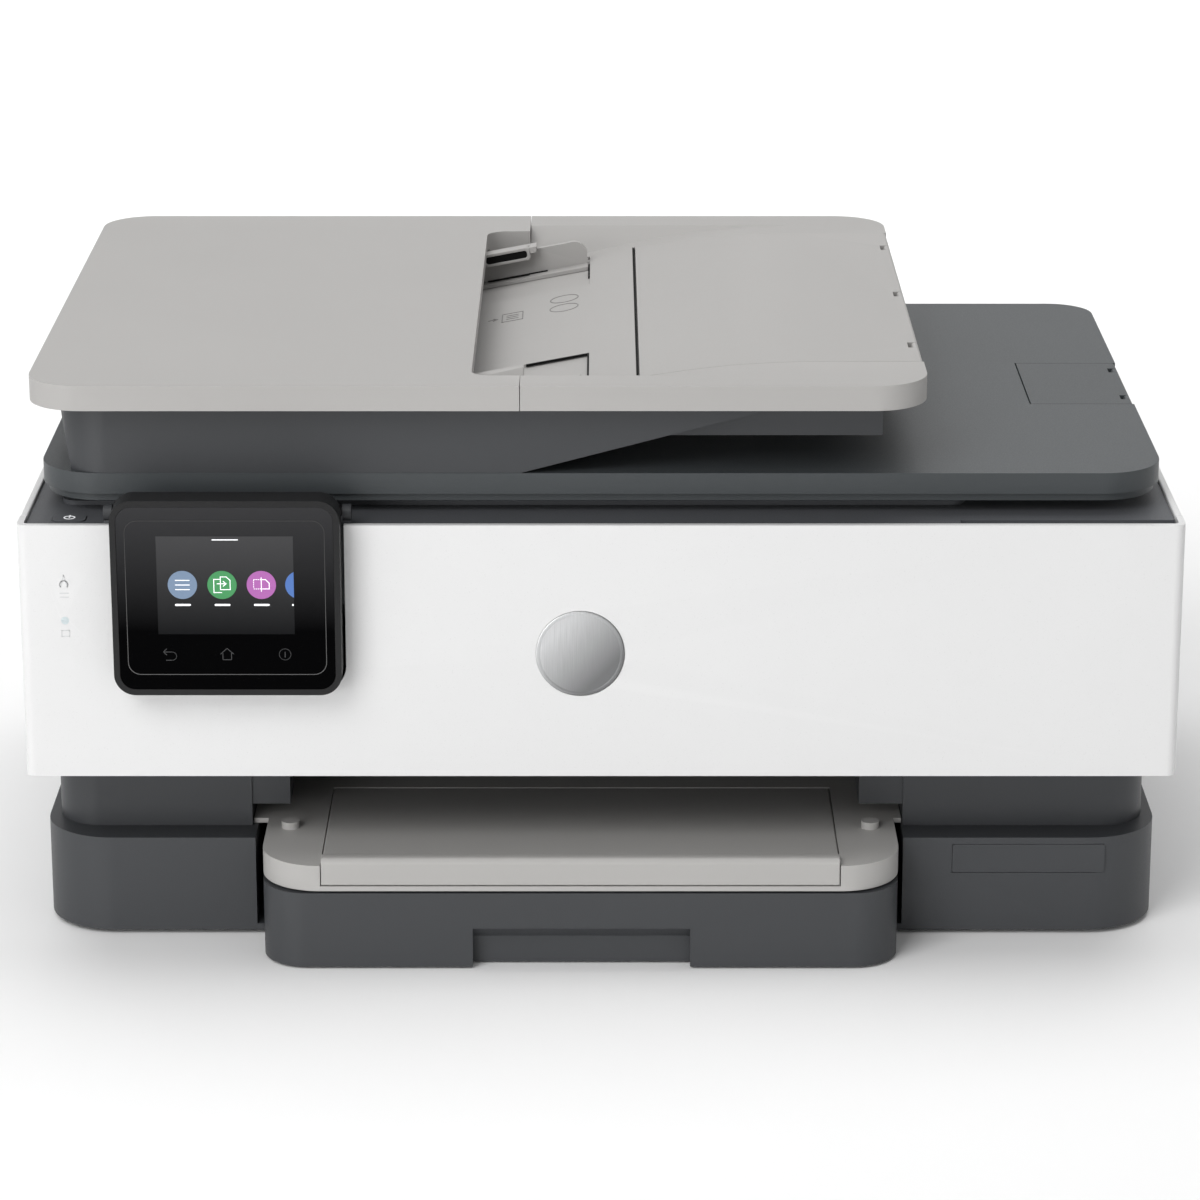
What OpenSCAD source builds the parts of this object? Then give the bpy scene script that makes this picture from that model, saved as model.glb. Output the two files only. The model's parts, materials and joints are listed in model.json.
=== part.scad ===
// All-in-one inkjet printer with a flatbed scanner, a document feeder and a tilting touch panel.
// Millimetres. +X is to the right, +Y is to the back, +Z is up.
// The origin is at the middle of the printer's footprint, on the surface that it stands on.

/* [Overall] */
// Width across the white front door
body_w = 460; // [458:1:462]
// Depth from the front of the trays to the back of the document feeder
body_d = 341; // [340:1:343]
// Height to the top of the document feeder
body_h = 234; // [234:1:236]
// Thickness of the moulded walls
wall = 2.6; // [2.4:0.1:2.8]

/* [Levels] */
// Top of the base shell
base_top = 42; // [42:0.5:42.5]
// Bottom edge of the white front door
door_low = 75.5; // [75:0.5:75.5]
// Top edge of the white front door
door_top = 179.9; // [179.5:0.1:180.2]
// Top of the dark deck around the scanner glass
deck_top = 178.5; // [178:0.1:178.6]
// Bottom of the scanner lid
lid_low = 183.7; // [183.5:0.1:184]
// Top of the scanner lid
lid_top = 195.4; // [195.2:0.1:195.6]
// Height of the document feeder's light rim
rim_h = 10.1; // [9.8:0.1:10.2]

/* [Trays] */
// Width of the input tray
tray_w = 255.4; // [254:0.2:256]
// Middle of the paper path, from the middle of the printer
tray_x = -8.3; // [-8.5:0.1:-8]
// Height of the input tray's front
tray_top = 32.4; // [32:0.1:32.6]
// Width of the pull-out output extension
ext_w = 207; // [204:1:208]

/* [Control panel] */
// Width of the control panel
panel_w = 89.8; // [89:0.1:90]
// Height of the control panel
panel_h = 79.6; // [79:0.1:80]
// Middle of the control panel, from the middle of the printer
panel_x = -147.1; // [-147.5:0.1:-146.9]
// Bottom edge of the control panel
panel_low = 113.6; // [113.5:0.1:114]

/* [Document feeder] */
// Right end of the document feeder's tray
feeder_right = 129; // [128:0.5:129]
// Left end of the document feeder's cover
feeder_left = -226.5; // [-227:0.5:-226]
// Seam between the cover and the tray
seam_x = -32; // [-33:0.5:-31]
// Left edge of the opening that the paper goes into
mouth_x = -51.4; // [-52:0.1:-51]
// Corner radius of the document feeder in plan
feeder_r = 22; // [20:1:24]

/* [Print mechanism] */
// Radius of the carriage's guide rod
rod_r = 4; // [4:0.5:4]
// Width of the ink carriage
carriage_w = 104; // [104:1:104]
// Where the carriage parks
park_x = 152; // [150:1:152]
// Tooth size of the feed gears
gear_m = 1; // [1:1:1]
// Teeth of the feed roller's gear
feed_teeth = 44; // [44:4:44]
// Teeth of the transfer gear
transfer_teeth = 41; // [41:2:41]
// Teeth of the eject roller's gear
eject_teeth = 33; // [33:2:33]

/* [Hidden] */
$fn = 64;

half_w = body_w / 2;
front_y = -body_d / 2;
back_y = body_d / 2;
door_y = front_y + 18.5;
shell_back = 158;
rim_low = body_h - rim_h;
panel_left = panel_x - panel_w / 2;
panel_right = panel_x + panel_w / 2;
panel_top = panel_low + panel_h;
tray_left = tray_x - tray_w / 2;
tray_right = tray_x + tray_w / 2;
bay_left = tray_left - 4.6;
bay_right = tray_right + 3.4;

// ---- small helpers ----

// A box from its two corners
module block(low, high) {
  translate(low) cube(high - low);
}

// A flat rectangle with round corners, with one radius in front and one at the back
module outline(x0, x1, y0, y1, front_r, back_r) {
  translate([x0 + front_r, y0]) square([x1 - x0 - 2 * front_r, front_r]);
  translate([x0 + back_r, y1 - back_r]) square([x1 - x0 - 2 * back_r, back_r]);
  translate([x0, y0 + front_r]) square([x1 - x0, y1 - y0 - front_r - back_r]);
  for (x = [x0 + front_r, x1 - front_r]) translate([x, y0 + front_r]) circle(front_r);
  for (x = [x0 + back_r, x1 - back_r]) translate([x, y1 - back_r]) circle(back_r);
}

// An outline drawn up from one level to another
module slab(x0, x1, y0, y1, z0, z1, front_r, back_r) {
  translate([0, 0, z0]) linear_extrude(z1 - z0) outline(x0, x1, y0, y1, front_r, back_r);
}

// A shape drawn in X and Z, carried along Y
module along_y(y0, y1) {
  translate([0, y1, 0]) rotate([90, 0, 0]) linear_extrude(y1 - y0) children();
}

// A shape drawn in Y and Z, carried along X
module along_x(x0, x1) {
  translate([x0, 0, 0]) rotate([90, 0, 90]) linear_extrude(x1 - x0) children();
}

module rod_x(x0, x1, y, z, r) {
  translate([x0, y, z]) rotate([0, 90, 0]) cylinder(h = x1 - x0, r = r);
}

module rod_y(y0, y1, x, z, r) {
  translate([x, y0, z]) rotate([-90, 0, 0]) cylinder(h = y1 - y0, r = r);
}

module rod_z(z0, z1, x, y, r) {
  translate([x, y, z0]) cylinder(h = z1 - z0, r = r);
}

// A spur gear on the X axis. Its first tooth points along +Y, turned by phase.
function tooth(n, i, phase) =
  let (pitch_r = gear_m * n / 2, root = pitch_r - 1.25 * gear_m, tip = pitch_r + 0.85 * gear_m,
       step = 360 / n, a = i * step + phase)
  [for (p = [[root, -0.34], [tip, -0.13], [tip, 0.13], [root, 0.34]])
    [p[0] * cos(a + p[1] * step), p[0] * sin(a + p[1] * step)]];

module gear_x(x0, x1, y, z, n, phase, bore) {
  translate([0, y, z]) difference() {
    along_x(x0, x1) polygon([for (i = [0:n - 1]) each tooth(n, i, phase)]);
    rod_x(x0 - 1, x1 + 1, 0, 0, bore);
  }
}

// ---- base ----

base_low = 2;
base_half = 227.4;
base_front = front_y + 37.8;
base_floor = base_low + wall;

module base_shell() {
  inner = base_half - wall;
  color("#484a4e") difference() {
    slab(-base_half, base_half, base_front, shell_back, base_low, base_top, 29, 20);
    // two side pockets, open upwards under the middle body; the right one is closed at the front
    for (s = [[-inner, bay_left - 3.4, base_front + 28], [bay_right + 3.4, inner, 12]]) {
      slab(s[0], s[1], base_front + 26, shell_back - 17, base_floor, base_top - wall, 6, 6);
      block([s[0] + 12, s[2], base_top - 4], [s[1] - 4, shell_back - 20, base_top + 1]);
    }
    // bay for the input tray
    block([bay_left, base_front - 5, base_floor], [bay_right, 152, base_top + 1]);
    // shallow seat of the label plate
    block([142.8, base_front - 1, 26.8], [205.2, base_front + 0.8, 39.2]);
    // seats of the rubber feet
    for (x = [-190, 190]) for (y = [-95, 125]) rod_z(base_low - 1, base_low + 1, x, y, 9);
  }
}

module rubber_feet() {
  color("#202020") for (x = [-190, 190]) for (y = [-95, 125]) {
    rod_z(0, base_low + 1, x, y, 8.9);
  }
}

module label_plate() {
  color("#505257")
    along_y(base_front + 0.1, base_front + 0.8) outline(143, 205, 27, 39, 1, 1);
}

// ---- middle body, with the output space and the bearings of the rollers ----

mid_half = 223;
mid_front = front_y + 52.5;
mid_back = 155;
mid_top = 78;
space_left = bay_left - 2.2;
space_right = bay_right + 0.6;
space_top = 75.5;
feed_y = 16;
roller_z = 62;
transfer_y = feed_y - gear_m * (feed_teeth + transfer_teeth) / 2;
eject_y = transfer_y - gear_m * (transfer_teeth + eject_teeth) / 2;
pickup_y = 118;
pickup_z = 48;
shaft_r = 4;
bearing_r = shaft_r + 0.06;
gear_x0 = -212;
gear_x1 = -206;
shaft_x0 = -mid_half + 2;
well_x = 214;
well_front = -84;
well_back = 74;

module mid_body() {
  inner = mid_half - wall;
  color("#3f4145") difference() {
    union() {
      difference() {
        slab(-mid_half, mid_half, mid_front, mid_back, base_top, mid_top, 18, 14);
        for (s = [[-inner, space_left - 3.2], [space_right + 3.2, inner]]) {
          slab(s[0], s[1], mid_front + wall, mid_back - wall, base_top - 1, space_top, 16, 12);
        }
        block([space_left, mid_front - 1, base_top - 1], [space_right, mid_back - wall, space_top]);
      }
      // cheeks beside the output space
      block([space_left - 1, mid_front + 1, 51], [space_left + 15.6, mid_front + 22, space_top + 1]);
      block([space_right - 18, mid_front + 1, 51], [space_right + 1, mid_front + 22, space_top + 1]);
      // bosses of the roller shafts at the outer wall, and the stub that carries the transfer gear
      for (y = [feed_y, eject_y]) rod_x(-mid_half + 1, gear_x0 - 2, y, roller_z, 7);
      rod_x(-mid_half + 1, gear_x1 + 1, transfer_y, roller_z, 3);
    }
    // well under the carriage
    block([-well_x, well_front, space_top - 2], [well_x, well_back, mid_top + 1]);
    // bearings of the roller shafts
    for (p = [[feed_y, roller_z], [eject_y, roller_z], [pickup_y, pickup_z]]) {
      rod_x(space_left - 5, space_left + 2, p[0], p[1], bearing_r);
      rod_x(space_right - 2, space_right + 5, p[0], p[1], bearing_r);
    }
    for (y = [feed_y, eject_y]) rod_x(shaft_x0 - 0.2, gear_x0, y, roller_z, bearing_r);
    // window for the service station, and the rear paper way
    block([space_right - 2, -54, 54], [space_right + 5, 8, mid_top + 1]);
    block([-96, mid_back - 5, 54], [96, mid_back + 1, mid_top + 1]);
    // hole for the power inlet
    block([-190.5, mid_back - 5, 53.5], [-163.5, mid_back + 1, 72.5]);
  }
}

// ---- upper frame, with the opening to the ink carriage ----

frame_half = 226.8;
frame_front = -141;
frame_top = 146.3;
door_axis = [-146, 78.5];
door_pin_r = 1.5;

module upper_frame() {
  inner = frame_half - wall;
  color("#2e3034") {
    difference() {
      slab(-frame_half, frame_half, frame_front, mid_back, mid_top, frame_top, 3, 10);
      slab(-inner, inner, frame_front + wall, mid_back - wall, mid_top + wall, frame_top + 1, 3, 8);
      // opening behind the front door
      block([-213, frame_front - 1, 82], [213, frame_front + 5, 141]);
      block([-well_x, well_front, mid_top - 1], [well_x, well_back, mid_top + 5]);
      // rear paper way and the opening for the sockets
      block([-96, mid_back - 5, mid_top - 1], [96, mid_back + 1, 130]);
      block([136, mid_back - 5, 88], [210, mid_back + 1, 108]);
    }
    // lugs that carry the front door
    for (s = [-1, 1]) difference() {
      union() {
        rod_x(s * 223.5 - 1.5, s * 223.5 + 1.5, door_axis[0], door_axis[1], 2.4);
        block([s * 223.5 - 1.5, door_axis[0], door_axis[1] - 0.4],
              [s * 223.5 + 1.5, frame_front + 1, door_axis[1] + 2.4]);
      }
      rod_x(s * 223.5 - 3, s * 223.5 + 3, door_axis[0], door_axis[1], door_pin_r + 0.06);
    }
  }
}

side_front = -137.2;
side_back = shell_back;
side_skin = 2.8;

// One white side skin; side is -1 on the left and 1 on the right
module side_panel(side) {
  color("#eceded") mirror([side < 0 ? 1 : 0, 0, 0]) difference() {
    translate([0, 0, door_low]) linear_extrude(door_top - door_low) difference() {
      outline(190, half_w, side_front - 20, side_back, 2, 10 + side_skin);
      outline(180, half_w - side_skin, side_front - 22, side_back - side_skin, 2, 10);
      translate([180, side_front - 30]) square([60, 30]);
      translate([180, side_back - 14]) square([36.4, 30]);
    }
    // grip slot at the bottom, to lift the printer by
    along_x(half_w - 4, half_w + 1) outline(-40, 60, door_low - 10, door_low + 9, 1, 6);
  }
}

module side_panel_left() {
  side_panel(-1);
}

module side_panel_right() {
  side_panel(1);
}

// ---- rear ----

rear_axis = [160.2, 50.4];

module rear_panel() {
  color("#36383c") difference() {
    union() {
      along_y(mid_back + 0.2, shell_back) outline(-216, 216, base_top + 0.2, 177, 4, 6);
      for (s = [-1, 1]) {
        block([s * 103 - 2.3, shell_back - 1, 47.8], [s * 103 + 2.3, rear_axis[0], 53]);
        rod_x(s * 103 - 2.3, s * 103 + 2.3, rear_axis[0], rear_axis[1], 2.6);
      }
    }
    for (s = [-1, 1]) rod_x(s * 103 - 4, s * 103 + 4, rear_axis[0], rear_axis[1], 1.56);
    // rear paper way
    along_y(mid_back - 1, shell_back + 0.5) outline(-96, 96, 54, 130, 2, 2);
    // sockets
    block([138, mid_back - 1, 90], [208, shell_back + 1, 106]);
    block([-190.5, mid_back - 1, 53.5], [-163.5, shell_back + 1, 72.5]);
    // vent slots
    for (i = [0:11]) {
      along_y(mid_back - 1, shell_back + 1)
        outline(-206 + i * 7, -202.6 + i * 7, 96, 126, 1.5, 1.5);
    }
  }
}

module rear_access_door() {
  color("#303236") difference() {
    union() {
      along_y(shell_back + 0.4, shell_back + 4) outline(-99, 99, 53.6, 134, 3, 5);
      // feet of the door, with its moulded hinge pins
      for (s = [-1, 1]) {
        block([s * 95 - 4, shell_back + 0.8, rear_axis[1]], [s * 95 + 4, rear_axis[0] + 1.8, 56]);
        rod_x(s * 95 - 4, s * 95 + 4, rear_axis[0], rear_axis[1], 1.8);
        rod_x(s * 101.5 - 3.8, s * 101.5 + 3.8, rear_axis[0], rear_axis[1], door_pin_r);
      }
      // paper guide ribs on its inner side
      for (i = [-4:4]) block([i * 20 - 1, mid_back + 0.6, 60], [i * 20 + 1, shell_back + 1, 126]);
    }
    // finger catch at the top
    along_y(shell_back + 2.2, shell_back + 6) outline(-22, 22, 122, 130, 2, 2);
  }
}

module power_inlet() {
  color("#18181a") difference() {
    along_y(138, shell_back + 0.3) outline(-190, -164, 54, 72, 3, 3);
    along_y(143, shell_back + 1) outline(-187.5, -166.5, 57, 69, 5, 5);
  }
  color("#b0b0b0") for (x = [-181, -173]) rod_y(142.5, 152, x, 63, 1.2);
}

module power_supply() {
  color("#9a9c9e") difference() {
    block([-216, 66, base_top], [-146.4, 136, 73]);
    for (i = [0:7]) block([-210 + i * 7, 65, 50], [-207 + i * 7, 68, 66]);
  }
}

module main_board() {
  color("#1f5a34") {
    block([106, 148.6, 84], [212, 150.2, 139]);
    block([140, 146, 112], [160, 148.8, 132]);
    block([172, 146.6, 116], [186, 148.8, 128]);
    block([116, 144, 90], [126, 148.8, 100]);
  }
  // sockets that show at the back
  color("#8c8e90") for (s = [[141, 153, 91.5, 103], [158, 174, 91.5, 105], [178, 190, 92, 103],
                             [193, 205, 92, 103]]) {
    difference() {
      block([s[0], 150, s[2]], [s[1], 157.4, s[3]]);
      block([s[0] + 1.4, 151.5, s[2] + 1.4], [s[1] - 1.4, 158, s[3] - 1.4]);
    }
  }
}

// ---- scanner ----

bed_half = 226.9;
bed_front = door_y + 3.6;
glass_box = [-186, 136, -110, 116];
strip_box = [-208, -189.5, -110, 116];
rail_y = 3;
rail_z = 155;
button_xy = [-210.6, -137.5];
button_half = [6.5, 5];
panel_axis = [door_y + 5, 184];

module scanner_bed() {
  inner = bed_half - wall;
  color("#3a3c40") difference() {
    union() {
      slab(-bed_half, bed_half, bed_front, mid_back, frame_top + 0.2, deck_top, 3, 10);
      slab(-216, 146, -118, 124, deck_top - 1, deck_top + 1.8, 6, 6);
      // blocks that carry the control panel
      for (x = [panel_left - 2.1, panel_right + 2.1]) {
        block([x - 1.7, panel_axis[0] - 1.2, deck_top - 1], [x + 1.7, panel_axis[0] + 3.2, 184]);
        rod_x(x - 1.7, x + 1.7, panel_axis[0], panel_axis[1], 3.2);
      }
    }
    slab(-inner, inner, bed_front + wall, mid_back - wall, frame_top + wall, deck_top - wall, 2, 8);
    for (g = [glass_box, strip_box]) {
      block([g[0], g[2], deck_top - 1.2], [g[1], g[3], deck_top + 2]);
      block([g[0] + 3, g[2] + 3, deck_top - 4], [g[1] - 3, g[3] - 3, deck_top]);
    }
    // well of the power button
    slab(button_xy[0] - button_half[0] - 0.3, button_xy[0] + button_half[0] + 0.3,
         button_xy[1] - button_half[1] - 0.3, button_xy[1] + button_half[1] + 0.3,
         deck_top - 5, deck_top + 1, 3, 3);
    // lower step at the right, for the fingers that open the front door
    block([142, bed_front - 1, deck_top - 1.2], [bed_half + 1, bed_front + 9, deck_top + 1]);
    for (x = [panel_left - 2.1, panel_right + 2.1]) {
      rod_x(x - 3, x + 3, panel_axis[0], panel_axis[1], 1.56);
    }
  }
}

module scanner_glass() {
  color("#a8c4c8", 0.4) for (g = [glass_box, strip_box]) {
    block([g[0] + 0.1, g[2] + 0.1, deck_top - 1.2], [g[1] - 0.1, g[3] - 0.1, deck_top + 1.7]);
  }
}

module scan_rail() {
  color("#b8babc") rod_x(-bed_half + wall, bed_half - wall, rail_y, rail_z, 3);
}

module scan_bar() {
  color("#222428") difference() {
    union() {
      block([-207, -106, 162], [-189, 112, 173.6]);
      block([-212, rail_y - 14, 150.2], [-184, rail_y + 14, 162.5]);
    }
    rod_x(-220, -180, rail_y, rail_z, 3.05);
    // lens slot along the bar
    block([-200, -102, 171.6], [-196, 108, 175]);
  }
}

// ---- ink carriage and its drive ----

rod_y_pos = 20;
rod_z_pos = 100;
beam_y = 64;
belt_y = 52.9;
pulley_x = 196;
pulley_r = 5.4;
belt_low = 104;
belt_high = 110;
plate_x = 216;

module carriage_frame() {
  color("#a9abad") difference() {
    union() {
      block([-plate_x - 2, beam_y, mid_top + 4], [plate_x + 2, beam_y + 2, 140]);
      block([-plate_x - 2, 44, 138.4], [plate_x + 2, beam_y + 2, 140]);
      for (s = [-1, 1]) {
        block([s * (plate_x + 1) - 1, -20, mid_top + wall], [s * (plate_x + 1) + 1, beam_y + 2, 140]);
      }
      // seat and axle of the idler pulley
      block([-plate_x - 1, 42, 98], [-180, beam_y + 1, 100]);
      rod_z(99, 112, -pulley_x, belt_y, 2);
    }
    for (s = [-1, 1]) rod_x(s * plate_x - 4, s * plate_x + 4, rod_y_pos, rod_z_pos, rod_r);
    for (i = [-3:3]) along_y(beam_y - 1, beam_y + 3) outline(i * 56 - 16, i * 56 + 16, 116, 128, 4, 4);
  }
}

module guide_rod() {
  color("#c8cacc") rod_x(-plate_x - 2, plate_x + 2, rod_y_pos, rod_z_pos, rod_r);
}

// The belt's loop, seen from above
module belt_loop(r) {
  for (x = [-pulley_x, pulley_x]) translate([x, belt_y]) circle(r);
  translate([-pulley_x, belt_y - r]) square([2 * pulley_x, 2 * r]);
}

module drive_belt() {
  color("#1c1c1c") translate([0, 0, belt_low]) linear_extrude(belt_high - belt_low) difference() {
    belt_loop(pulley_r + 1.5);
    belt_loop(pulley_r + 0.3);
  }
}

module pulley(x, bore) {
  difference() {
    union() {
      rod_z(belt_low - 0.8, belt_high + 0.8, x, belt_y, pulley_r);
      rod_z(belt_low - 1.8, belt_low - 0.4, x, belt_y, pulley_r + 2);
      rod_z(belt_high + 0.4, belt_high + 1.8, x, belt_y, pulley_r + 2);
      // grub screw, which shows that the pulley turns
      rod_z(belt_high + 1, belt_high + 2.6, x + 4.6, belt_y, 1.2);
    }
    rod_z(belt_low - 3, belt_high + 3, x, belt_y, bore);
  }
}

module drive_pulley() {
  color("#d0c060") pulley(pulley_x, 2.05);
}

module idler_pulley() {
  color("#d8d8d8") pulley(-pulley_x, 2.05);
}

module carriage_motor() {
  color("#8a8c90") {
    rod_z(60, 98.2, pulley_x, belt_y, 10.5);
    block([182, 43, 98], [213, beam_y, 100]);
    rod_z(97, 112, pulley_x, belt_y, 2);
  }
}

bay_w = [28, 22, 22, 22];
bay_wall = 2;
carriage_low = 80.6;
carriage_top = 136;
carriage_front = -56;
cartridge_gap = 0.4;

function bay_start(i) = park_x - carriage_w / 2 + bay_wall
  + (i == 0 ? 0 : bay_w[0] + bay_wall + (i - 1) * (bay_w[1] + bay_wall));

module carriage() {
  color("#26282b") difference() {
    union() {
      block([park_x - carriage_w / 2, carriage_front, carriage_low],
            [park_x + carriage_w / 2, 34, carriage_top]);
      // clamp on the belt
      block([park_x - 12, 33, belt_low - 3], [park_x + 12, 49.5, belt_high + 3]);
    }
    for (i = [0:3]) {
      block([bay_start(i), carriage_front - 1, 88], [bay_start(i) + bay_w[i], 4, carriage_top + 1]);
    }
    rod_x(park_x - 60, park_x + 60, rod_y_pos, rod_z_pos, rod_r + 0.06);
    block([park_x - 13, 45.5, belt_low - 0.5], [park_x + 13, 47.7, belt_high + 4]);
  }
}

module printhead() {
  color("#505256") {
    block([park_x - 42, -44, 74.2], [park_x + 42, -2, carriage_low]);
  }
}

// One ink cartridge with its front grip, in bay i
module cartridge(i) {
  x0 = bay_start(i) + cartridge_gap;
  x1 = bay_start(i) + bay_w[i] - cartridge_gap;
  difference() {
    union() {
      block([x0, carriage_front + 1, 88], [x1, 3, 132]);
      block([x0 + 1, carriage_front - 5, 98], [x1 - 1, carriage_front + 2, 130]);
    }
    block([x0 + 4, carriage_front - 6, 117], [x1 - 4, carriage_front - 1, 126]);
  }
}

module black_cartridge() {
  color("#2a2a2a") cartridge(0);
}

// The cyan, magenta and yellow cartridges, which are alike
module colour_cartridges() {
  tints = ["#2a9fd0", "#c83c8c", "#e0c030"];
  for (i = [1:3]) color(tints[i - 1]) cartridge(i);
}

// ---- paper feed ----

module feed_motor() {
  color("#8a8c90") {
    rod_x(-201, -161, 46, roller_z, 15);
    rod_x(gear_x0 + 1, -200, 46, roller_z, 5);
    block([-202, 28, base_top], [-200, 64, 74]);
  }
}

// A steel shaft with rubber sleeves
module sleeved_shaft(x0, x1, y, z, r, sleeves, length) {
  color("#b8babc") rod_x(x0, x1, y, z, shaft_r);
  color("#2a2a2a") for (x = sleeves) rod_x(x - length / 2, x + length / 2, y, z, r);
}

module feed_roller() {
  sleeved_shaft(shaft_x0, space_right + 4, feed_y, roller_z, 8, [-96, -38, 20, 78], 30);
  color("#e8e8e4")
    gear_x(gear_x0, gear_x1, feed_y, roller_z, feed_teeth, 0, shaft_r - 0.5);
}

module transfer_gear() {
  color("#e8e8e4")
    gear_x(gear_x0, gear_x1, transfer_y, roller_z, transfer_teeth, 180 / transfer_teeth, 3.06);
}

module eject_roller() {
  sleeved_shaft(shaft_x0, space_right + 4, eject_y, roller_z, 6, [-96, -52, -8, 36, 80], 12);
  color("#e8e8e4")
    gear_x(gear_x0, gear_x1, eject_y, roller_z, eject_teeth, 180 / eject_teeth, shaft_r - 0.5);
}

module pickup_roller() {
  sleeved_shaft(space_left - 3, space_right + 3, pickup_y, pickup_z, 12, [-32, 15], 22);
}

module platen() {
  color("#202224") {
    block([space_left + 1, -46, 62], [104, 3, 66]);
    for (i = [0:20]) block([-130 + i * 11, -45, 65], [-128 + i * 11, 2, 69.5]);
    // legs down to the walls of the bay
    block([space_left + 1, -46, base_top], [space_left + 4, 3, 63]);
    block([100, -46, 50], [104, 3, 63]);
  }
}

module service_station() {
  color("#343638") {
    difference() {
      block([106, -50, 56], [200, 5, 72]);
      block([109, -47, 60], [197, 2, 73]);
    }
    for (x = [130, 174]) block([x - 14, -38, 60], [x + 14, -8, 72.6]);
    // wiper blades
    for (x = [150.5, 153.5]) block([x - 0.6, -40, 60], [x + 0.6, -6, 73.4]);
    for (x = [129, 192]) block([x, -46, base_top], [x + 6, 1, 57]);
  }
}

// ---- front door ----

badge_r = 17.6;
badge_x = tray_x;
badge_z = 127;
light_x = -212;
light_z = 140.7;
door_plate = 2.8;
door_reach = 14;
notch_gap = 1;

module front_door() {
  inner_y = door_y + door_plate;
  color("#f2f2f2") difference() {
    union() {
      translate([0, 0, door_low]) linear_extrude(door_top - door_low) difference() {
        outline(-half_w, half_w, door_y, door_y + 40, 4, 2);
        outline(-half_w + 2.6, half_w - 2.6, inner_y, door_y + 50, 2, 2);
        translate([-half_w - 1, door_y + door_reach]) square([body_w + 2, 40]);
      }
      // stiffening ribs inside
      for (z = [92, 106]) block([-190, inner_y - 0.5, z], [205, inner_y + 3, z + 1.6]);
      block([-90, inner_y - 0.5, 138], [205, inner_y + 3, 139.6]);
      for (x = [-60, 20, 100, 180]) block([x, inner_y - 0.5, 93], [x + 1.6, inner_y + 3, 139]);
      // hinge feet with moulded pins
      for (s = [-1, 1]) {
        block([s * 219.4 - 2, inner_y - 0.5, door_axis[1] - 2.4],
              [s * 219.4 + 2, door_axis[0], door_axis[1] + 2.4]);
        rod_x(s * 219.4 - 2, s * 219.4 + 2, door_axis[0], door_axis[1], 2.4);
        rod_x(s * 222.4 - 2.6, s * 222.4 + 2.6, door_axis[0], door_axis[1], door_pin_r);
      }
    }
    // notch that lets the door pass the control panel
    along_y(door_y - 1, door_y + 5)
      outline(panel_left - notch_gap, panel_right + notch_gap, panel_low - notch_gap - 0.2,
              door_top + 20, 9, 9);
    rod_y(door_y - 1, door_y + 1.2, badge_x, badge_z, badge_r + 0.15);
    rod_y(door_y - 1, door_y + 5, light_x, light_z, 1.6);
  }
}

module round_badge() {
  color("#b4b6b8") {
    rod_y(door_y - 0.4, door_y + 1.2, badge_x, badge_z, badge_r);
  }
}

module status_light() {
  color("#bcd6dc") rod_y(door_y, door_y + 3.2, light_x, light_z, 1.6);
}

// ---- control panel ----

panel_front = door_y - 12;
panel_back = door_y + 1.4;
glass_inset = 2.4;
lcd = [-174, -120.4, 138.8, 178.9];

module panel_housing() {
  color("#1b1c1e") difference() {
    union() {
      along_y(panel_front, panel_back) outline(panel_left, panel_right, panel_low, panel_top, 8.5, 8.5);
      // barrel and pins that the panel tilts on
      block([panel_left + 6, panel_back - 1, 181], [panel_right - 6, panel_axis[0], 187]);
      rod_x(panel_left + 0.6, panel_right - 0.6, panel_axis[0], panel_axis[1], 3);
      rod_x(panel_left - 3.6, panel_right + 3.6, panel_axis[0], panel_axis[1], 1.5);
    }
    along_y(panel_front - 1, panel_front + 2.2)
      outline(panel_left + glass_inset, panel_right - glass_inset, panel_low + glass_inset,
              panel_top - glass_inset, 6.2, 6.2);
    // hollow for the panel's board, closed by the glass
    block([panel_left + 8, panel_front + 2, panel_low + 8], [panel_right - 8, panel_back - 3, panel_top - 14]);
  }
}

module panel_glass() {
  inset = glass_inset + 0.1;
  color("#08090a") difference() {
    along_y(panel_front + 0.2, panel_front + 2.2)
      outline(panel_left + inset, panel_right - inset, panel_low + inset, panel_top - inset, 6.1, 6.1);
    block([lcd[0], panel_front - 1, lcd[2]], [lcd[1], panel_front + 3, lcd[3]]);
  }
}

module display() {
  color("#2c2d30") block([lcd[0], panel_front + 0.25, lcd[2]], [lcd[1], panel_front + 5, lcd[3]]);
}

module power_button() {
  color("#2a2c30") {
    slab(button_xy[0] - button_half[0], button_xy[0] + button_half[0],
         button_xy[1] - button_half[1], button_xy[1] + button_half[1],
         deck_top - 4, deck_top + 0.4, 2.7, 2.7);
  }
}

// ---- input tray ----

tray_low = 5.2;
drawer_back = 149;
grip_left = -51.4;
grip_right = 35.6;
grip_top = 17.4;
grip_depth = 6;
sheet_half = 108.6;
guide_floor = tray_low + wall + 0.2;

module input_tray() {
  fascia_back = base_front - 1.9;
  color("#45474b") difference() {
    union() {
      slab(tray_left, tray_right, front_y, fascia_back, 1, tray_top, 18, 1);
      block([tray_left, fascia_back - 4, tray_low], [tray_right, drawer_back, tray_top - 0.3]);
    }
    // paper space
    block([tray_left + wall, front_y + 26, tray_low + wall], [tray_right - wall, drawer_back - wall, tray_top + 1]);
    block([tray_left + 18, front_y + 17.5, tray_low + wall], [tray_right - 18, front_y + 30, tray_top + 1]);
    // grip under the front, with a slanting ceiling
    along_x(grip_left, grip_right) polygon([
      [front_y - 1, 0], [front_y - 1, grip_top + 1], [front_y, grip_top],
      [front_y + grip_depth, grip_top - 5.4], [front_y + grip_depth, 0]
    ]);
    // cut at the back for the pickup rollers
    block([-50, drawer_back - 5, 26], [33, drawer_back + 1, tray_top + 1]);
  }
}

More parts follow.
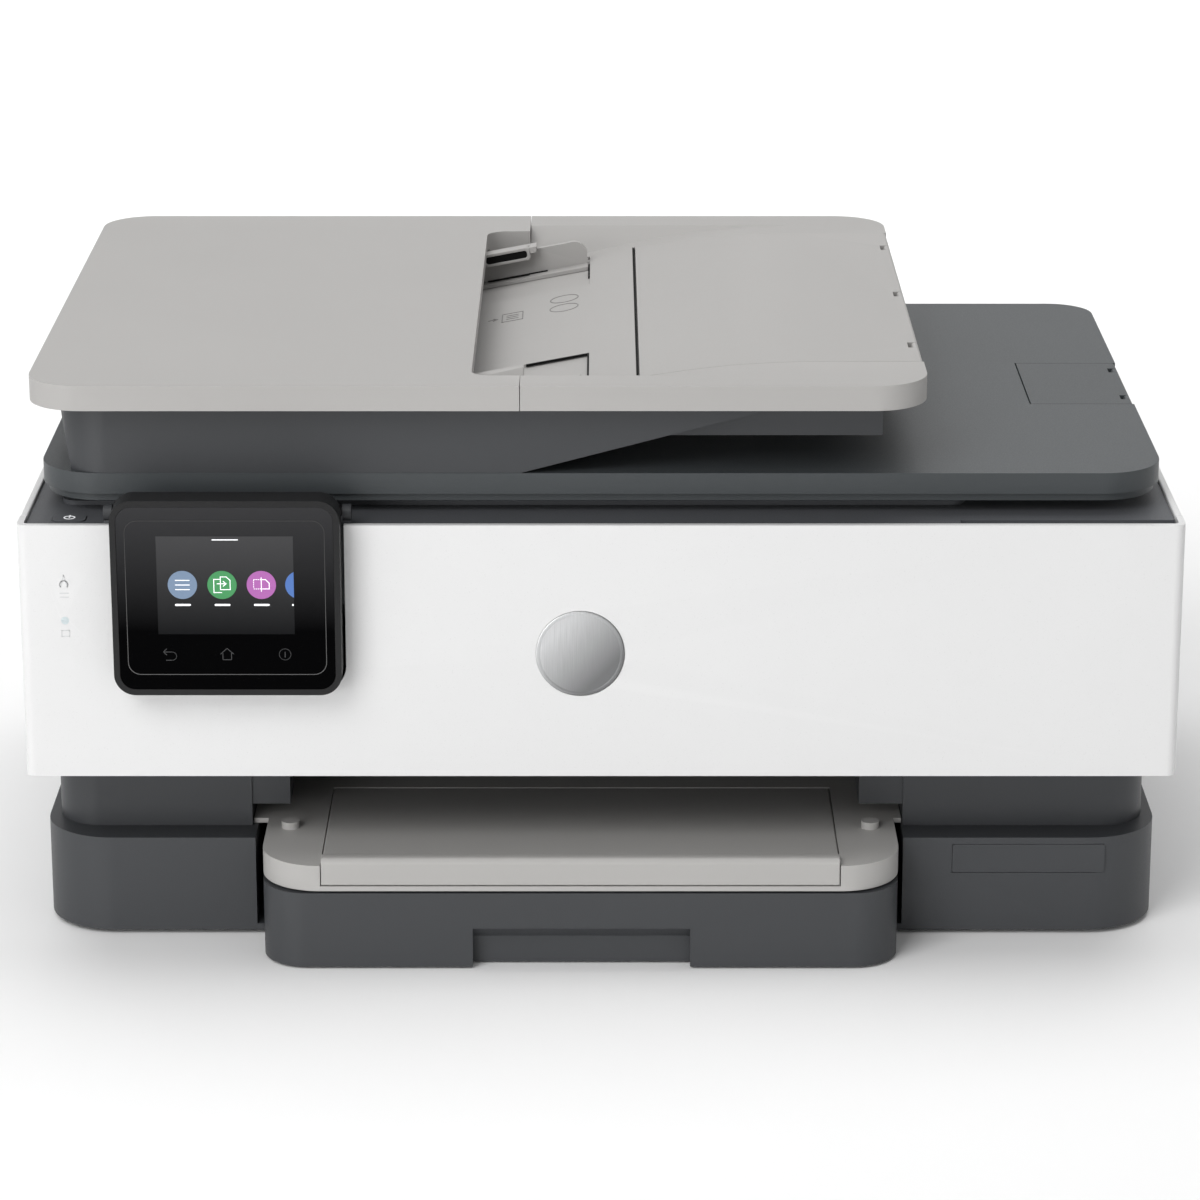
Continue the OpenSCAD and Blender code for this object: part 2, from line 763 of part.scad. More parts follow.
module lift_plate() {
  color("#8f9194") {
    block([tray_x - 90, 24, guide_floor], [tray_x + 90, 138, guide_floor + 1.4]);
    rod_x(tray_x - 90, tray_x + 90, 24, guide_floor + 1.5, 1.5);
  }
}

// A paper width guide; side is -1 on the left and 1 on the right
module tray_guide(side) {
  color("#5a5c60") translate([tray_x, 0, 0]) mirror([side < 0 ? 1 : 0, 0, 0]) {
    block([sheet_half, -96, guide_floor], [sheet_half + 2.4, 16, 30]);
    block([sheet_half, -40, guide_floor], [sheet_half + 14, -10, guide_floor + 1.6]);
    block([sheet_half + 1, -27, guide_floor], [sheet_half + 14, -23, 22]);
  }
}

module tray_guide_left() {
  tray_guide(-1);
}

module tray_guide_right() {
  tray_guide(1);
}

module length_guide() {
  color("#5a5c60") {
    block([tray_x - 24, front_y + 18.5, guide_floor], [tray_x + 24, front_y + 21, 29]);
    block([tray_x - 12, front_y + 18.5, guide_floor], [tray_x + 12, front_y + 46, guide_floor + 1.6]);
  }
}

// ---- output tray ----

out_low = 33.3;
out_top = 44;
out_back = -62;
post_y = front_y + 44.8;
ext_left = tray_x - ext_w / 2;
ext_right = tray_x + ext_w / 2;

module output_tray() {
  color("#b2b0ae") {
    difference() {
      union() {
        slab(tray_left - 0.4, tray_right + 0.4, front_y + 0.2, out_back, out_low, out_top, 24, 1);
        block([space_left + 0.4, mid_front + 3, base_top], [space_right - 0.4, out_back, out_top]);
      }
      block([ext_left - 0.3, front_y - 1, out_low + 2], [ext_right + 0.3, -78, out_top + 1]);
      // hollow undersides of the two wings
      block([tray_left + 2.2, front_y + 26, out_low - 1], [ext_left - 2.5, out_back - 2, out_top - 2]);
      block([ext_right + 2.5, front_y + 26, out_low - 1], [tray_right - 2.2, out_back - 2, out_top - 2]);
    }
    // round posts at the back corners
    for (x = [tray_x - 118.4, tray_x + 117.9]) rod_z(out_top - 1, out_top + 3, x, post_y, 3.65);
  }
}

module output_extension() {
  color("#b8b6b4") difference() {
    union() {
      block([ext_left, front_y + 0.2, out_low + 2.3], [ext_right, -79, out_top]);
      // raised lip along the front
      along_x(ext_left, ext_right) polygon([[front_y + 0.2, out_top - 1], [front_y + 0.2, out_top + 1.2],
        [front_y + 2, out_top + 2.7], [front_y + 7, out_top + 2.7], [front_y + 13, out_top - 1]]);
    }
    block([ext_left + 3, front_y + 4, out_low + 1], [ext_right - 3, -82, out_top - 2]);
  }
}

// ---- scanner lid ----

lid_half = 224;
lid_front = front_y + 39.2;
lid_back = 158.7;
lid_axis = [163.2, 187];
hinge_x = 150;
stop_box = [180.7, -22.9, 46.4];
flap_pin_r = 0.7;
knuckle_r = 1.35;
stop_axis = [222.4, lid_top - knuckle_r];
stop_knuckles = [-12, 34];

module lid_hinge_brackets() {
  color("#2c2e31") for (s = [-1, 1]) difference() {
    union() {
      block([s * hinge_x - 11, shell_back + 0.1, 150], [s * hinge_x + 11, shell_back + 4, 181]);
      for (d = [-1, 1]) {
        x = s * hinge_x + d * 8.2;
        block([x - 2.8, shell_back + 1.7, 174], [x + 2.8, lid_axis[0] + 3.4, lid_axis[1]]);
        rod_x(x - 2.8, x + 2.8, lid_axis[0], lid_axis[1], 3.4);
      }
    }
    rod_x(s * hinge_x - 20, s * hinge_x + 20, lid_axis[0], lid_axis[1], 1.56);
  }
}

module lid_hinge_pins() {
  color("#c0c2c4") for (s = [-1, 1]) {
    rod_x(s * hinge_x - 10.6, s * hinge_x + 10.6, lid_axis[0], lid_axis[1], 1.5);
  }
}

module scanner_lid() {
  color("#5c6265") difference() {
    union() {
      difference() {
        union() {
          slab(-lid_half, lid_half, lid_front, lid_back, lid_low + 3.2, lid_top, 25, 19);
          slab(-lid_half + 2, lid_half - 2, lid_front + 2, lid_back - 2, lid_low, lid_low + 3.4, 23, 17);
        }
        slab(-lid_half + 4.6, lid_half - 4.6, lid_front + 4.6, lid_back - 4.6,
             lid_low - 1, lid_top - 3, 20.4, 14.4);
      }
      // thicker floor under the output stop
      block([stop_box[0] - 4, stop_box[1] - 4, lid_top - 5], [lid_half - 3, stop_box[2] + 4, lid_top - 2]);
      // hinge arms
      for (s = [-1, 1]) {
        block([s * hinge_x - 5.1, lid_back - 3, 184.4], [s * hinge_x + 5.1, lid_axis[0], 189.6]);
        rod_x(s * hinge_x - 5.1, s * hinge_x + 5.1, lid_axis[0], lid_axis[1], 3.2);
      }
    }
    // seat of the output stop, open at the lid's right edge
    difference() {
      block([stop_box[0] - 0.6, stop_box[1] - 0.3, lid_top - 2.8], [lid_half + 1, stop_box[2] + 0.3, lid_top + 1]);
      for (y = stop_knuckles) {
        rod_y(y - 3, y + 3, stop_axis[0], stop_axis[1], knuckle_r);
        block([stop_axis[0] - knuckle_r, y - 3, lid_top - 4], [stop_axis[0] + knuckle_r, y + 3, stop_axis[1]]);
      }
    }
    rod_y(stop_box[1] - 3, stop_box[2] + 3, stop_axis[0], stop_axis[1], flap_pin_r + 0.06);
    for (s = [-1, 1]) rod_x(s * hinge_x - 6, s * hinge_x + 6, lid_axis[0], lid_axis[1], 1.5);
  }
}

module output_stop() {
  y0 = stop_box[1];
  y1 = stop_box[2];
  color("#5c6265") difference() {
    union() {
      block([stop_box[0], y0, lid_top - 2.4], [stop_axis[0], y1, lid_top]);
      rod_y(y0, y1, stop_axis[0], stop_axis[1], knuckle_r);
    }
    for (y = stop_knuckles) block([stop_axis[0] - 3, y - 3.3, lid_top - 4], [lid_half + 1, y + 3.3, lid_top + 1]);
    rod_y(y0 - 1, y1 + 1, stop_axis[0], stop_axis[1], flap_pin_r);
  }
  color("#5c6265") rod_y(y0, y1, stop_axis[0], stop_axis[1], flap_pin_r);
}

module lid_liner() {
  color("#e4e4e2") difference() {
    slab(-218, 218, -125, 152, lid_low + 0.4, lid_top - 5, 16, 12);
    slab(-216, 216, -123, 150, lid_low + 2.6, lid_top, 14, 10);
    // window over the feeder's scan strip
    block([-206, -106, lid_low - 1], [-192, 112, lid_low + 4]);
  }
}

module lid_pad() {
  color("#f4f4f2") slab(-184, 134, -108, 114, deck_top + 2.2, lid_low + 0.4, 4, 4);
}

// ---- document feeder ----

recess_front = -126;
recess_wall_y = 150;
ramp_end = 82;
ramp = [[-78, 209.9], [mouth_x, 215], [15, 227.6], [35, 230.6], [52, 232.6], [70, 233.7], [ramp_end, 234]];
body_front = -131;
way_front = [-120, -48];
way_rear = [76, 131];
flap_left = 15.4;
flap_y0 = -103.5;
flap_y1 = 133.8;
flap_axis = [feeder_right - 1.6, body_h - knuckle_r];
flap_knuckles = [-76, 14, 104];
cover_axis = [-208, 219];

function ramp_z(x) = lookup(x, ramp);
function lowered(points, d) = [for (p = points) [p[0], p[1] - d]];
function backward(points) = [for (i = [len(points) - 1:-1:0]) points[i]];

module feeder_outline(inset) {
  outline(feeder_left + inset, feeder_right - inset, -143 + inset, back_y - inset,
          feeder_r - inset, feeder_r - inset);
}

module adf_body() {
  color("#3c3e42") difference() {
    union() {
      intersection() {
        along_y(body_front, shell_back)
          polygon([[-211, lid_top], [-32, lid_top], [75, rim_low - 0.4], [-216, rim_low - 0.4]]);
        translate([0, 0, 190]) linear_extrude(40) outline(-216, 160, body_front, shell_back, 20, 14);
      }
      // shallow box under the tray
      block([24, -120, 208], [112, 148, rim_low - 0.4]);
    }
    // inside of the box
    difference() {
      along_y(body_front + wall, shell_back - wall)
        polygon([[-208.5, lid_top + wall], [-33, lid_top + wall], [62, 222.6], [62, 230], [-212.5, 230],
                 [-212.5, 222]]);
      block([-230, -140, 190], [-190, -119, 240]);
      block([-230, 146, 190], [-190, 170, 240]);
    }
    slab(-208.2, -180, body_front + wall, shell_back - wall, lid_top + wall, 230, 17, 11);
    block([27, -117, 211], [109, 145, 230]);
    // exit slot of the paper, over the lid
    block([-60, -112, 198.2], [20, 118, 203.5]);
  }
  // posts that carry the cover
  color("#3c3e42") for (y = [-116.2, 140.8]) difference() {
    union() {
      block([cover_axis[0] - 3, y - 1.8, lid_top + wall - 1], [cover_axis[0] + 3, y + 1.8, cover_axis[1]]);
      rod_y(y - 1.8, y + 1.8, cover_axis[0], cover_axis[1], 3);
    }
    rod_y(y - 3, y + 3, cover_axis[0], cover_axis[1], 1.56);
  }
}

module adf_tray() {
  color("#c2c1c0") difference() {
    union() {
      difference() {
        union() {
          intersection() {
            translate([0, 0, rim_low]) linear_extrude(rim_h) feeder_outline(0);
            block([seam_x + 0.15, -200, 200], [200, 200, 260]);
          }
          // trough that dips under the cover
          along_y(recess_front - 2, recess_wall_y - 8)
            polygon([[-78, ramp_z(-78) - wall], [mouth_x, ramp_z(mouth_x) - wall], [15, ramp_z(15) - wall],
                     [15, 230], [seam_x + 0.15, 230], [seam_x + 0.15, rim_low - 0.5], [-78, rim_low - 0.5]]);
        }
        // paper recess above the ramp
        intersection() {
          along_y(-160, 170) polygon(concat([[-90, 207.6]], ramp, [[ramp_end, 250], [-90, 250]]));
          along_x(-95, 90) polygon([[recess_front, 190], [recess_front, 250], [166, 250], [106, 190]]);
        }
        // seat of the flap
        along_y(flap_y0 - 0.2, flap_y1 + 0.2)
          polygon(concat([[14.1, 250], [14.1, ramp_z(14.1) - 2.9]],
            [for (p = ramp) if (p[0] > 20) [p[0], p[1] - 2.85]], [[feeder_right + 1, body_h - 2.85],
            [feeder_right + 1, 250]]));
        // hollow underside
        intersection() {
          along_y(-160, 180) polygon([[30, rim_low - 1], [30, 224.9], [52, 227.2], [ramp_end, 228.8],
                                      [feeder_right, 228.8], [feeder_right, rim_low - 1]]);
          translate([0, 0, rim_low - 2]) linear_extrude(20) feeder_outline(wall);
        }
        // shallow ways of the two paper guides
        for (w = [way_rear, way_front]) {
          along_y(w[0], w[1]) polygon([[-90, ramp_z(-78) - 2.3 - 1.4], [-5, ramp_z(-5) - 1.4],
                                       [-5, 240], [-90, 240]]);
        }
      }
      // knuckles of the flap's hinge
      for (y = flap_knuckles) {
        rod_y(y - 4, y + 4, flap_axis[0], flap_axis[1], knuckle_r);
        block([flap_axis[0] - knuckle_r, y - 4, rim_low + 1], [flap_axis[0] + knuckle_r, y + 4, flap_axis[1]]);
      }
      // lugs of the pickup shaft
      for (y = [-25.5, 25.5]) {
        block([-69, y - 1.5, 207], [-63, y + 1.5, 220.5]);
        rod_y(y - 1.5, y + 1.5, -66, 220.5, 3.4);
      }
    }
    for (y = [-25.5, 25.5]) rod_y(y - 4, y + 4, -66, 220.5, 2.06);
    for (y = flap_knuckles) rod_y(y - 6, y + 6, flap_axis[0], flap_axis[1], flap_pin_r + 0.06);
  }
}

module adf_flap() {
  top = concat([[flap_left, ramp_z(flap_left)]], [for (p = ramp) if (p[0] > 20) p],
               [[flap_axis[0], body_h]]);
  color("#c2c1c0") difference() {
    union() {
      along_y(flap_y0, flap_y1) polygon(concat(top, backward(lowered(top, 2.4))));
      rod_y(flap_y0, flap_y1, flap_axis[0], flap_axis[1], knuckle_r);
    }
    for (y = flap_knuckles) {
      block([flap_axis[0] - 3, y - 4.3, body_h - 6], [feeder_right + 1, y + 4.3, body_h + 1]);
    }
    rod_y(flap_y0 - 1, flap_y1 + 1, flap_axis[0], flap_axis[1], flap_pin_r);
  }
  color("#c2c1c0") rod_y(flap_y0, flap_y1, flap_axis[0], flap_axis[1], flap_pin_r);
}

module adf_cover() {
  color("#c4c3c2") {
    difference() {
      intersection() {
        translate([0, 0, rim_low]) linear_extrude(rim_h) feeder_outline(0);
        block([-300, -200, 200], [seam_x - 0.15, 200, 260]);
      }
      intersection() {
        translate([0, 0, rim_low - 1]) linear_extrude(rim_h + 1 - wall) feeder_outline(wall);
        block([-300, -200, 200], [mouth_x - wall, 200, 260]);
      }
      // mouth that the paper goes into
      slab(mouth_x, mouth_x + 60, recess_front, 137.8, rim_low - 2, body_h + 1, 7, 9);
      // room for the paper under the mouth's edge
      block([mouth_x - wall - 1, recess_front + 4, rim_low - 1], [mouth_x + 1, 133, rim_low + 3]);
    }
    // hinge arms with moulded pins; each one bends round the feeder's side wall
    for (s = [[-112.4, -1], [137, 1]]) {
      y = s[0];
      block([cover_axis[0], y - 1.6, cover_axis[1] - 3], [cover_axis[0] + 14, y + 1.6, cover_axis[1] + 3]);
      block([cover_axis[0] + 8, y - 1.6, cover_axis[1]],
            [cover_axis[0] + 14, y + 1.6, body_h - wall + 0.5]);
      rod_y(y - 1.6, y + 1.6, cover_axis[0], cover_axis[1], 3);
      rod_y(y - (s[1] < 0 ? 6 : 0), y + (s[1] < 0 ? 0 : 6), cover_axis[0], cover_axis[1], 1.5);
    }
  }
}

rear_guide_y = 117.5;
front_guide_y = -92.5;

// A strip that follows the ramp from one x to another, between two heights above the way
module ramp_strip(x0, x1, low, high) {
  polygon([[x0, ramp_z(x0) + low], [x1, ramp_z(x1) + low], [x1, ramp_z(x1) + high], [x0, ramp_z(x0) + high]]);
}

module adf_guide_rear() {
  color("#bdbcbb") difference() {
    union() {
      along_y(rear_guide_y - 8, rear_guide_y + 10) ramp_strip(mouth_x - 2, -6, -1.2, 0.4);
      along_y(rear_guide_y, rear_guide_y + 2.4) {
        ramp_strip(mouth_x - 2, -12, 0, 11.2);
        ramp_strip(-12.5, -6.2, 0, 5.4);
        translate([-12.2, ramp_z(-12.2) + 5.2]) circle(6);
      }
      // finger grip over the wall
      along_y(rear_guide_y - 6, rear_guide_y + 2.4) ramp_strip(mouth_x + 0.4, -29, 11, 13.6);
    }
    // slot in the finger grip
    slab(mouth_x + 1, -32, rear_guide_y - 4, rear_guide_y - 0.6, 215, 240, 1.6, 1.6);
  }
}

module adf_guide_front() {
  y = front_guide_y;
  color("#bdbcbb") {
    along_y(y - 16, y + 8) ramp_strip(mouth_x - 2, -6, -1.2, 0.4);
    along_y(y - 2.4, y) ramp_strip(mouth_x - 2, -31, 0, 11.2);
    along_y(y - 2.4, y) ramp_strip(-31.5, -8, 0, 3);
    // sloping back of the wall
    intersection() {
      along_y(y - 16, y) ramp_strip(mouth_x - 2, -31, 0, 11.2);
      along_x(-90, 0) polygon([[y - 16, 205], [y - 16, 216], [y - 2, 232], [y, 232], [y, 205]]);
    }
  }
}

module adf_pickup_roller() {
  color("#b8babc") rod_y(-29, 29, -66, 220.5, 2);
  color("#3a5a8a") for (y = [-12, 12]) rod_y(y - 8, y + 8, -66, 220.5, 6.6);
}

// ---- assembly ----

base_shell();
rubber_feet();
label_plate();
mid_body();
upper_frame();
side_panel_left();
side_panel_right();
rear_panel();
rear_access_door();
power_inlet();
power_supply();
main_board();
scanner_bed();
scanner_glass();
scan_rail();
scan_bar();
carriage_frame();
guide_rod();
drive_belt();
drive_pulley();
idler_pulley();
carriage_motor();
carriage();
printhead();
black_cartridge();
colour_cartridges();
feed_motor();
feed_roller();
transfer_gear();
eject_roller();
pickup_roller();
platen();
service_station();
front_door();
round_badge();
status_light();
panel_housing();
panel_glass();
display();
power_button();
input_tray();
lift_plate();
tray_guide_left();
tray_guide_right();
length_guide();
output_tray();
output_extension();
lid_hinge_brackets();
lid_hinge_pins();
scanner_lid();
lid_liner();
lid_pad();
adf_body();
adf_tray();
adf_cover();
adf_flap();
adf_guide_front();
adf_guide_rear();
adf_pickup_roller();
output_stop();
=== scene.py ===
"""Looks of the all-in-one inkjet printer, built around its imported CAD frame.

Places and sizes are written in millimetres in the frame's axes, and MM turns them into metres.
"""

import json
import math

import bmesh
import bpy
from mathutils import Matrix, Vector, noise


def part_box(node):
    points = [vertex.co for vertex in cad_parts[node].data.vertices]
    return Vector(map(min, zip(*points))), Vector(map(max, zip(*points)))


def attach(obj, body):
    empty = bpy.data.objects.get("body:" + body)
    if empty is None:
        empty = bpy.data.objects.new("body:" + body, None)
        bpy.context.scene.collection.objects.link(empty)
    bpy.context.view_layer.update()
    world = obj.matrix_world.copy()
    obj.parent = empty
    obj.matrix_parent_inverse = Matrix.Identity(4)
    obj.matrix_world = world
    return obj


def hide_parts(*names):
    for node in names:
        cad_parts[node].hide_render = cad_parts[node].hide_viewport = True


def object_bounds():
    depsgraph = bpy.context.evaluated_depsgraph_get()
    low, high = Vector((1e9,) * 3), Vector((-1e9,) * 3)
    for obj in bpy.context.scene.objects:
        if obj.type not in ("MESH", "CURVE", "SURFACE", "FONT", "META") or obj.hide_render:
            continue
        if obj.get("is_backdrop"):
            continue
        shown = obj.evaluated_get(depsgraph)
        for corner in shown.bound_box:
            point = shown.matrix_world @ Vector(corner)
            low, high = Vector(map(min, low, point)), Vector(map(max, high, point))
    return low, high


MM = 0.001
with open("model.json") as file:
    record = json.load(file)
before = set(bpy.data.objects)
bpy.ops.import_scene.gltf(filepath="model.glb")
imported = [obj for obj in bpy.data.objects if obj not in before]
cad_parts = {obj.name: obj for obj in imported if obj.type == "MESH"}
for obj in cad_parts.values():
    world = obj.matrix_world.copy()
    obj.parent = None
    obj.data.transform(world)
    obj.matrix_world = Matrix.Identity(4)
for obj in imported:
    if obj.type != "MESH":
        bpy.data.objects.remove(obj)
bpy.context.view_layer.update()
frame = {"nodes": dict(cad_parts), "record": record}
nodes = frame["nodes"]


def box_mm(node):
    """The lowest and the highest corner of a CAD node at rest, to a thousandth of a mm."""
    return [Vector([round(v / MM, 3) for v in corner]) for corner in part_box(node)]


# ---- shader helpers ----

# the part of a noise texture's range that nearly all of its values lie in
NOISE_SPAN = (0.3, 0.7)
# features per metre of the broad clouds of shade in a moulding
CLOUDS = 9.0
# pointiness at which the painted highlight on an edge starts, and at which it is full
EDGE_HIGHLIGHT_RANGE = (0.52, 0.62)


def principled(name):
    """A new material, its node tree and its shader."""
    mat = bpy.data.materials.new(name)
    mat.use_nodes = True
    return mat, mat.node_tree, mat.node_tree.nodes["Principled BSDF"]


def noise_node(tree, scale, detail=3.0, stretch=(1, 1, 1)):
    """Noise in the piece's own coordinates, with scale in features per metre."""
    coords = tree.nodes.new("ShaderNodeTexCoord")
    mapping = tree.nodes.new("ShaderNodeMapping")
    mapping.inputs["Scale"].default_value = stretch
    made = tree.nodes.new("ShaderNodeTexNoise")
    made.inputs["Scale"].default_value = scale
    made.inputs["Detail"].default_value = detail
    tree.links.new(coords.outputs["Object"], mapping.inputs["Vector"])
    tree.links.new(mapping.outputs["Vector"], made.inputs["Vector"])
    return made


def ramp(tree, source, low, high, to_low, to_high):
    """A linear map of a value from one range to another."""
    made = tree.nodes.new("ShaderNodeMapRange")
    sockets = ("From Min", "From Max", "To Min", "To Max")
    for socket, value in zip(sockets, (low, high, to_low, to_high)):
        made.inputs[socket].default_value = value
    tree.links.new(source, made.inputs["Value"])
    return made.outputs["Result"]


def spread(tree, texture, low, high):
    """A noise texture's value, mapped to run from low to high."""
    return ramp(tree, texture.outputs["Fac"], *NOISE_SPAN, low, high)


def mix_colour(tree, factor, first, second):
    """A mix of two colours, each one a socket or three fixed numbers."""
    made = tree.nodes.new("ShaderNodeMix")
    made.data_type = "RGBA"
    tree.links.new(factor, made.inputs["Factor"])
    # inputs 6 and 7 are the two colours, and output 2 is their mix
    for socket, colour in ((6, first), (7, second)):
        if isinstance(colour, bpy.types.NodeSocket):
            tree.links.new(colour, made.inputs[socket])
        else:
            made.inputs[socket].default_value = (*colour, 1)
    return made.outputs[2]


def shade(colour, share):
    """A lighter or darker version of a colour."""
    return tuple(min(1.0, c * share) for c in colour)


def places(tree):
    """A point's X, Y and Z in the frame, in metres."""
    coords = tree.nodes.new("ShaderNodeTexCoord")
    split = tree.nodes.new("ShaderNodeSeparateXYZ")
    tree.links.new(coords.outputs["Object"], split.inputs["Vector"])
    return split.outputs


def tint_past(tree, colour, axis, limit, tint, way="GREATER_THAN"):
    """The colour, or tint where a point lies past a limit in mm along an axis."""
    step = tree.nodes.new("ShaderNodeMath")
    step.operation = way
    step.inputs[1].default_value = limit * MM
    tree.links.new(places(tree)[axis], step.inputs[0])
    return mix_colour(tree, step.outputs["Value"], colour, tint)


def repaint(mat, recolour):
    """Puts recolour(tree, old colour) in place of a material's colour."""
    tree, shader = mat.node_tree, mat.node_tree.nodes["Principled BSDF"]
    old = shader.inputs["Base Color"].links[0].from_socket
    tree.links.new(recolour(tree, old), shader.inputs["Base Color"])
    return mat


def relief(tree, shader, texture, strength, depth):
    """Fine bumps in a surface, with their depth in mm."""
    made = tree.nodes.new("ShaderNodeBump")
    made.inputs["Strength"].default_value = strength
    made.inputs["Distance"].default_value = depth * MM
    tree.links.new(texture.outputs["Fac"], made.inputs["Height"])
    tree.links.new(made.outputs["Normal"], shader.inputs["Normal"])


# ---- kinds of material ----

def plastic(name, colour, rough=0.42, grain=0.5, bump=0.12, mottle=0.03, edge=0.12, specular=0.5):
    """Moulded plastic. grain is its texture's size in mm, mottle its change of shade, edge the share of a
    painted highlight on its edges.
    """
    mat, tree, shader = principled(name)
    tone = spread(tree, noise_node(tree, CLOUDS, 4.0), 0.0, 1.0)
    body = mix_colour(tree, tone, shade(colour, 1 - mottle), shade(colour, 1 + mottle))
    # convex edges are painted lighter: a painted highlight where they would catch the light
    geometry = tree.nodes.new("ShaderNodeNewGeometry")
    highlight_share = ramp(tree, geometry.outputs["Pointiness"], *EDGE_HIGHLIGHT_RANGE, 0.0, edge)
    painted_edge_highlight = shade(colour, 1.5)
    tree.links.new(mix_colour(tree, highlight_share, body, painted_edge_highlight), shader.inputs["Base Color"])
    fine = noise_node(tree, 1.0 / (grain * MM), 2.0)
    tree.links.new(spread(tree, fine, rough - 0.05, rough + 0.05), shader.inputs["Roughness"])
    relief(tree, shader, fine, bump, 0.2)
    shader.inputs["Specular IOR Level"].default_value = specular
    return mat


def metal(name, colour, rough=0.3, stretch=(1, 1, 1), scale=900.0, bump=0.05):
    """Bare or plated metal with fine marks drawn out along one direction."""
    mat, tree, shader = principled(name)
    marks = noise_node(tree, scale, 3.0, stretch)
    tone = spread(tree, marks, 0.0, 1.0)
    body = mix_colour(tree, tone, shade(colour, 0.9), shade(colour, 1.08))
    tree.links.new(body, shader.inputs["Base Color"])
    tree.links.new(spread(tree, marks, rough - 0.08, rough + 0.08), shader.inputs["Roughness"])
    relief(tree, shader, marks, bump, 0.1)
    shader.inputs["Metallic"].default_value = 1.0
    return mat


def graded_metal(name, x, z, radius, upper, lower):
    """Brushed metal on an upright disc with painted shading: light at its upper left, darkening towards its
    lower right.
    """
    def paint_shading(tree, old):
        at = places(tree)
        across = tree.nodes.new("ShaderNodeMath")
        across.operation = "SUBTRACT"
        tree.links.new(at["X"], across.inputs[0])
        tree.links.new(at["Z"], across.inputs[1])
        first, last = (x - z - radius) * MM, (x - z + radius) * MM
        share = ramp(tree, across.outputs["Value"], first, last, 0.0, 1.0)
        return mix_colour(tree, share, old, lower)

    return repaint(metal(name, upper, 0.36, (1, 1, 0.03), 2600.0, 0.1), paint_shading)


def fade(name, top, bottom, z_top, z_bottom, rough, specular=0.5, glow=0.0):
    """A surface whose shade fades between two heights of the object. On the panel's glass the fade is a painted
    reflection, lighter towards the top; the screen behind the glass fades the same way and gives off a little
    light.
    """
    mat, tree, shader = principled(name)
    height = ramp(tree, places(tree)["Z"], z_bottom * MM, z_top * MM, 0.0, 1.0)
    colour = mix_colour(tree, height, bottom, top)
    tree.links.new(colour, shader.inputs["Base Color"])
    smear = noise_node(tree, 60.0, 3.0)
    tree.links.new(spread(tree, smear, rough - 0.03, rough + 0.05), shader.inputs["Roughness"])
    shader.inputs["Specular IOR Level"].default_value = specular
    if glow:
        tree.links.new(colour, shader.inputs["Emission Color"])
        shader.inputs["Emission Strength"].default_value = glow
    return mat


def lit(name, colour, glow):
    """A mark on the screen that gives off a little light, with a faint grain."""
    mat, tree, shader = principled(name)
    tone = spread(tree, noise_node(tree, 5000.0, 0.0), 0.0, 1.0)
    grained = mix_colour(tree, tone, shade(colour, 0.97), shade(colour, 1.03))
    for socket in ("Base Color", "Emission Color"):
        tree.links.new(grained, shader.inputs[socket])
    shader.inputs["Emission Strength"].default_value = glow
    shader.inputs["Roughness"].default_value = 0.4
    return mat


def clear(name, colour, rough=0.02, through=1.0):
    """Clear or milky glass with a faint smear."""
    mat, tree, shader = principled(name)
    smear = noise_node(tree, 30.0, 3.0)
    tree.links.new(ramp(tree, smear.outputs["Fac"], 0.35, 0.75, rough, rough + 0.05),
                   shader.inputs["Roughness"])
    shader.inputs["Base Color"].default_value = (*colour, 1)
    shader.inputs["Transmission Weight"].default_value = through
    shader.inputs["IOR"].default_value = 1.5
    return mat


def board(name, chips_until, sockets_from):
    """Green solder mask with copper tracks, between the black chips and the dark sockets, from Y to Y in mm."""
    mat, tree, shader = principled(name)
    coords = tree.nodes.new("ShaderNodeTexCoord")
    upright = tree.nodes.new("ShaderNodeMapping")
    upright.inputs["Rotation"].default_value = (math.radians(90), 0, 0)
    tracks = tree.nodes.new("ShaderNodeTexBrick")
    tracks.inputs["Scale"].default_value = 90.0
    tracks.inputs["Mortar Size"].default_value = 0.06
    tracks.inputs["Color1"].default_value = (0.012, 0.075, 0.03, 1)
    tracks.inputs["Color2"].default_value = (0.014, 0.09, 0.036, 1)
    tracks.inputs["Mortar"].default_value = (0.03, 0.2, 0.08, 1)
    tree.links.new(coords.outputs["Object"], upright.inputs["Vector"])
    tree.links.new(upright.outputs["Vector"], tracks.inputs["Vector"])
    bare = tracks.outputs["Color"]
    chips = tint_past(tree, bare, "Y", chips_until, (0.012, 0.012, 0.013), "LESS_THAN")
    colour = tint_past(tree, chips, "Y", sockets_from, (0.03, 0.03, 0.032))
    tree.links.new(colour, shader.inputs["Base Color"])
    tree.links.new(spread(tree, noise_node(tree, 1500.0, 2.0), 0.28, 0.42), shader.inputs["Roughness"])
    return mat


def by_x(name, first, bands):
    """Moulded plastic in a few tints: the first one, and then one from each X in mm on."""
    mat, tree, shader = principled(name)
    colour = first
    for start, tint in bands:
        colour = tint_past(tree, colour, "X", start, tint)
    tree.links.new(colour, shader.inputs["Base Color"])
    tree.links.new(spread(tree, noise_node(tree, 1800.0, 2.0), 0.36, 0.48), shader.inputs["Roughness"])
    return mat


# ---- the materials ----

# centre and radius of the badge on the door
BADGE_X, BADGE_Z, BADGE_R = -8.4, 127.0, 17.6
# height from which the scanner bed is the blocks on its deck
BLOCKS_FROM = 180.6
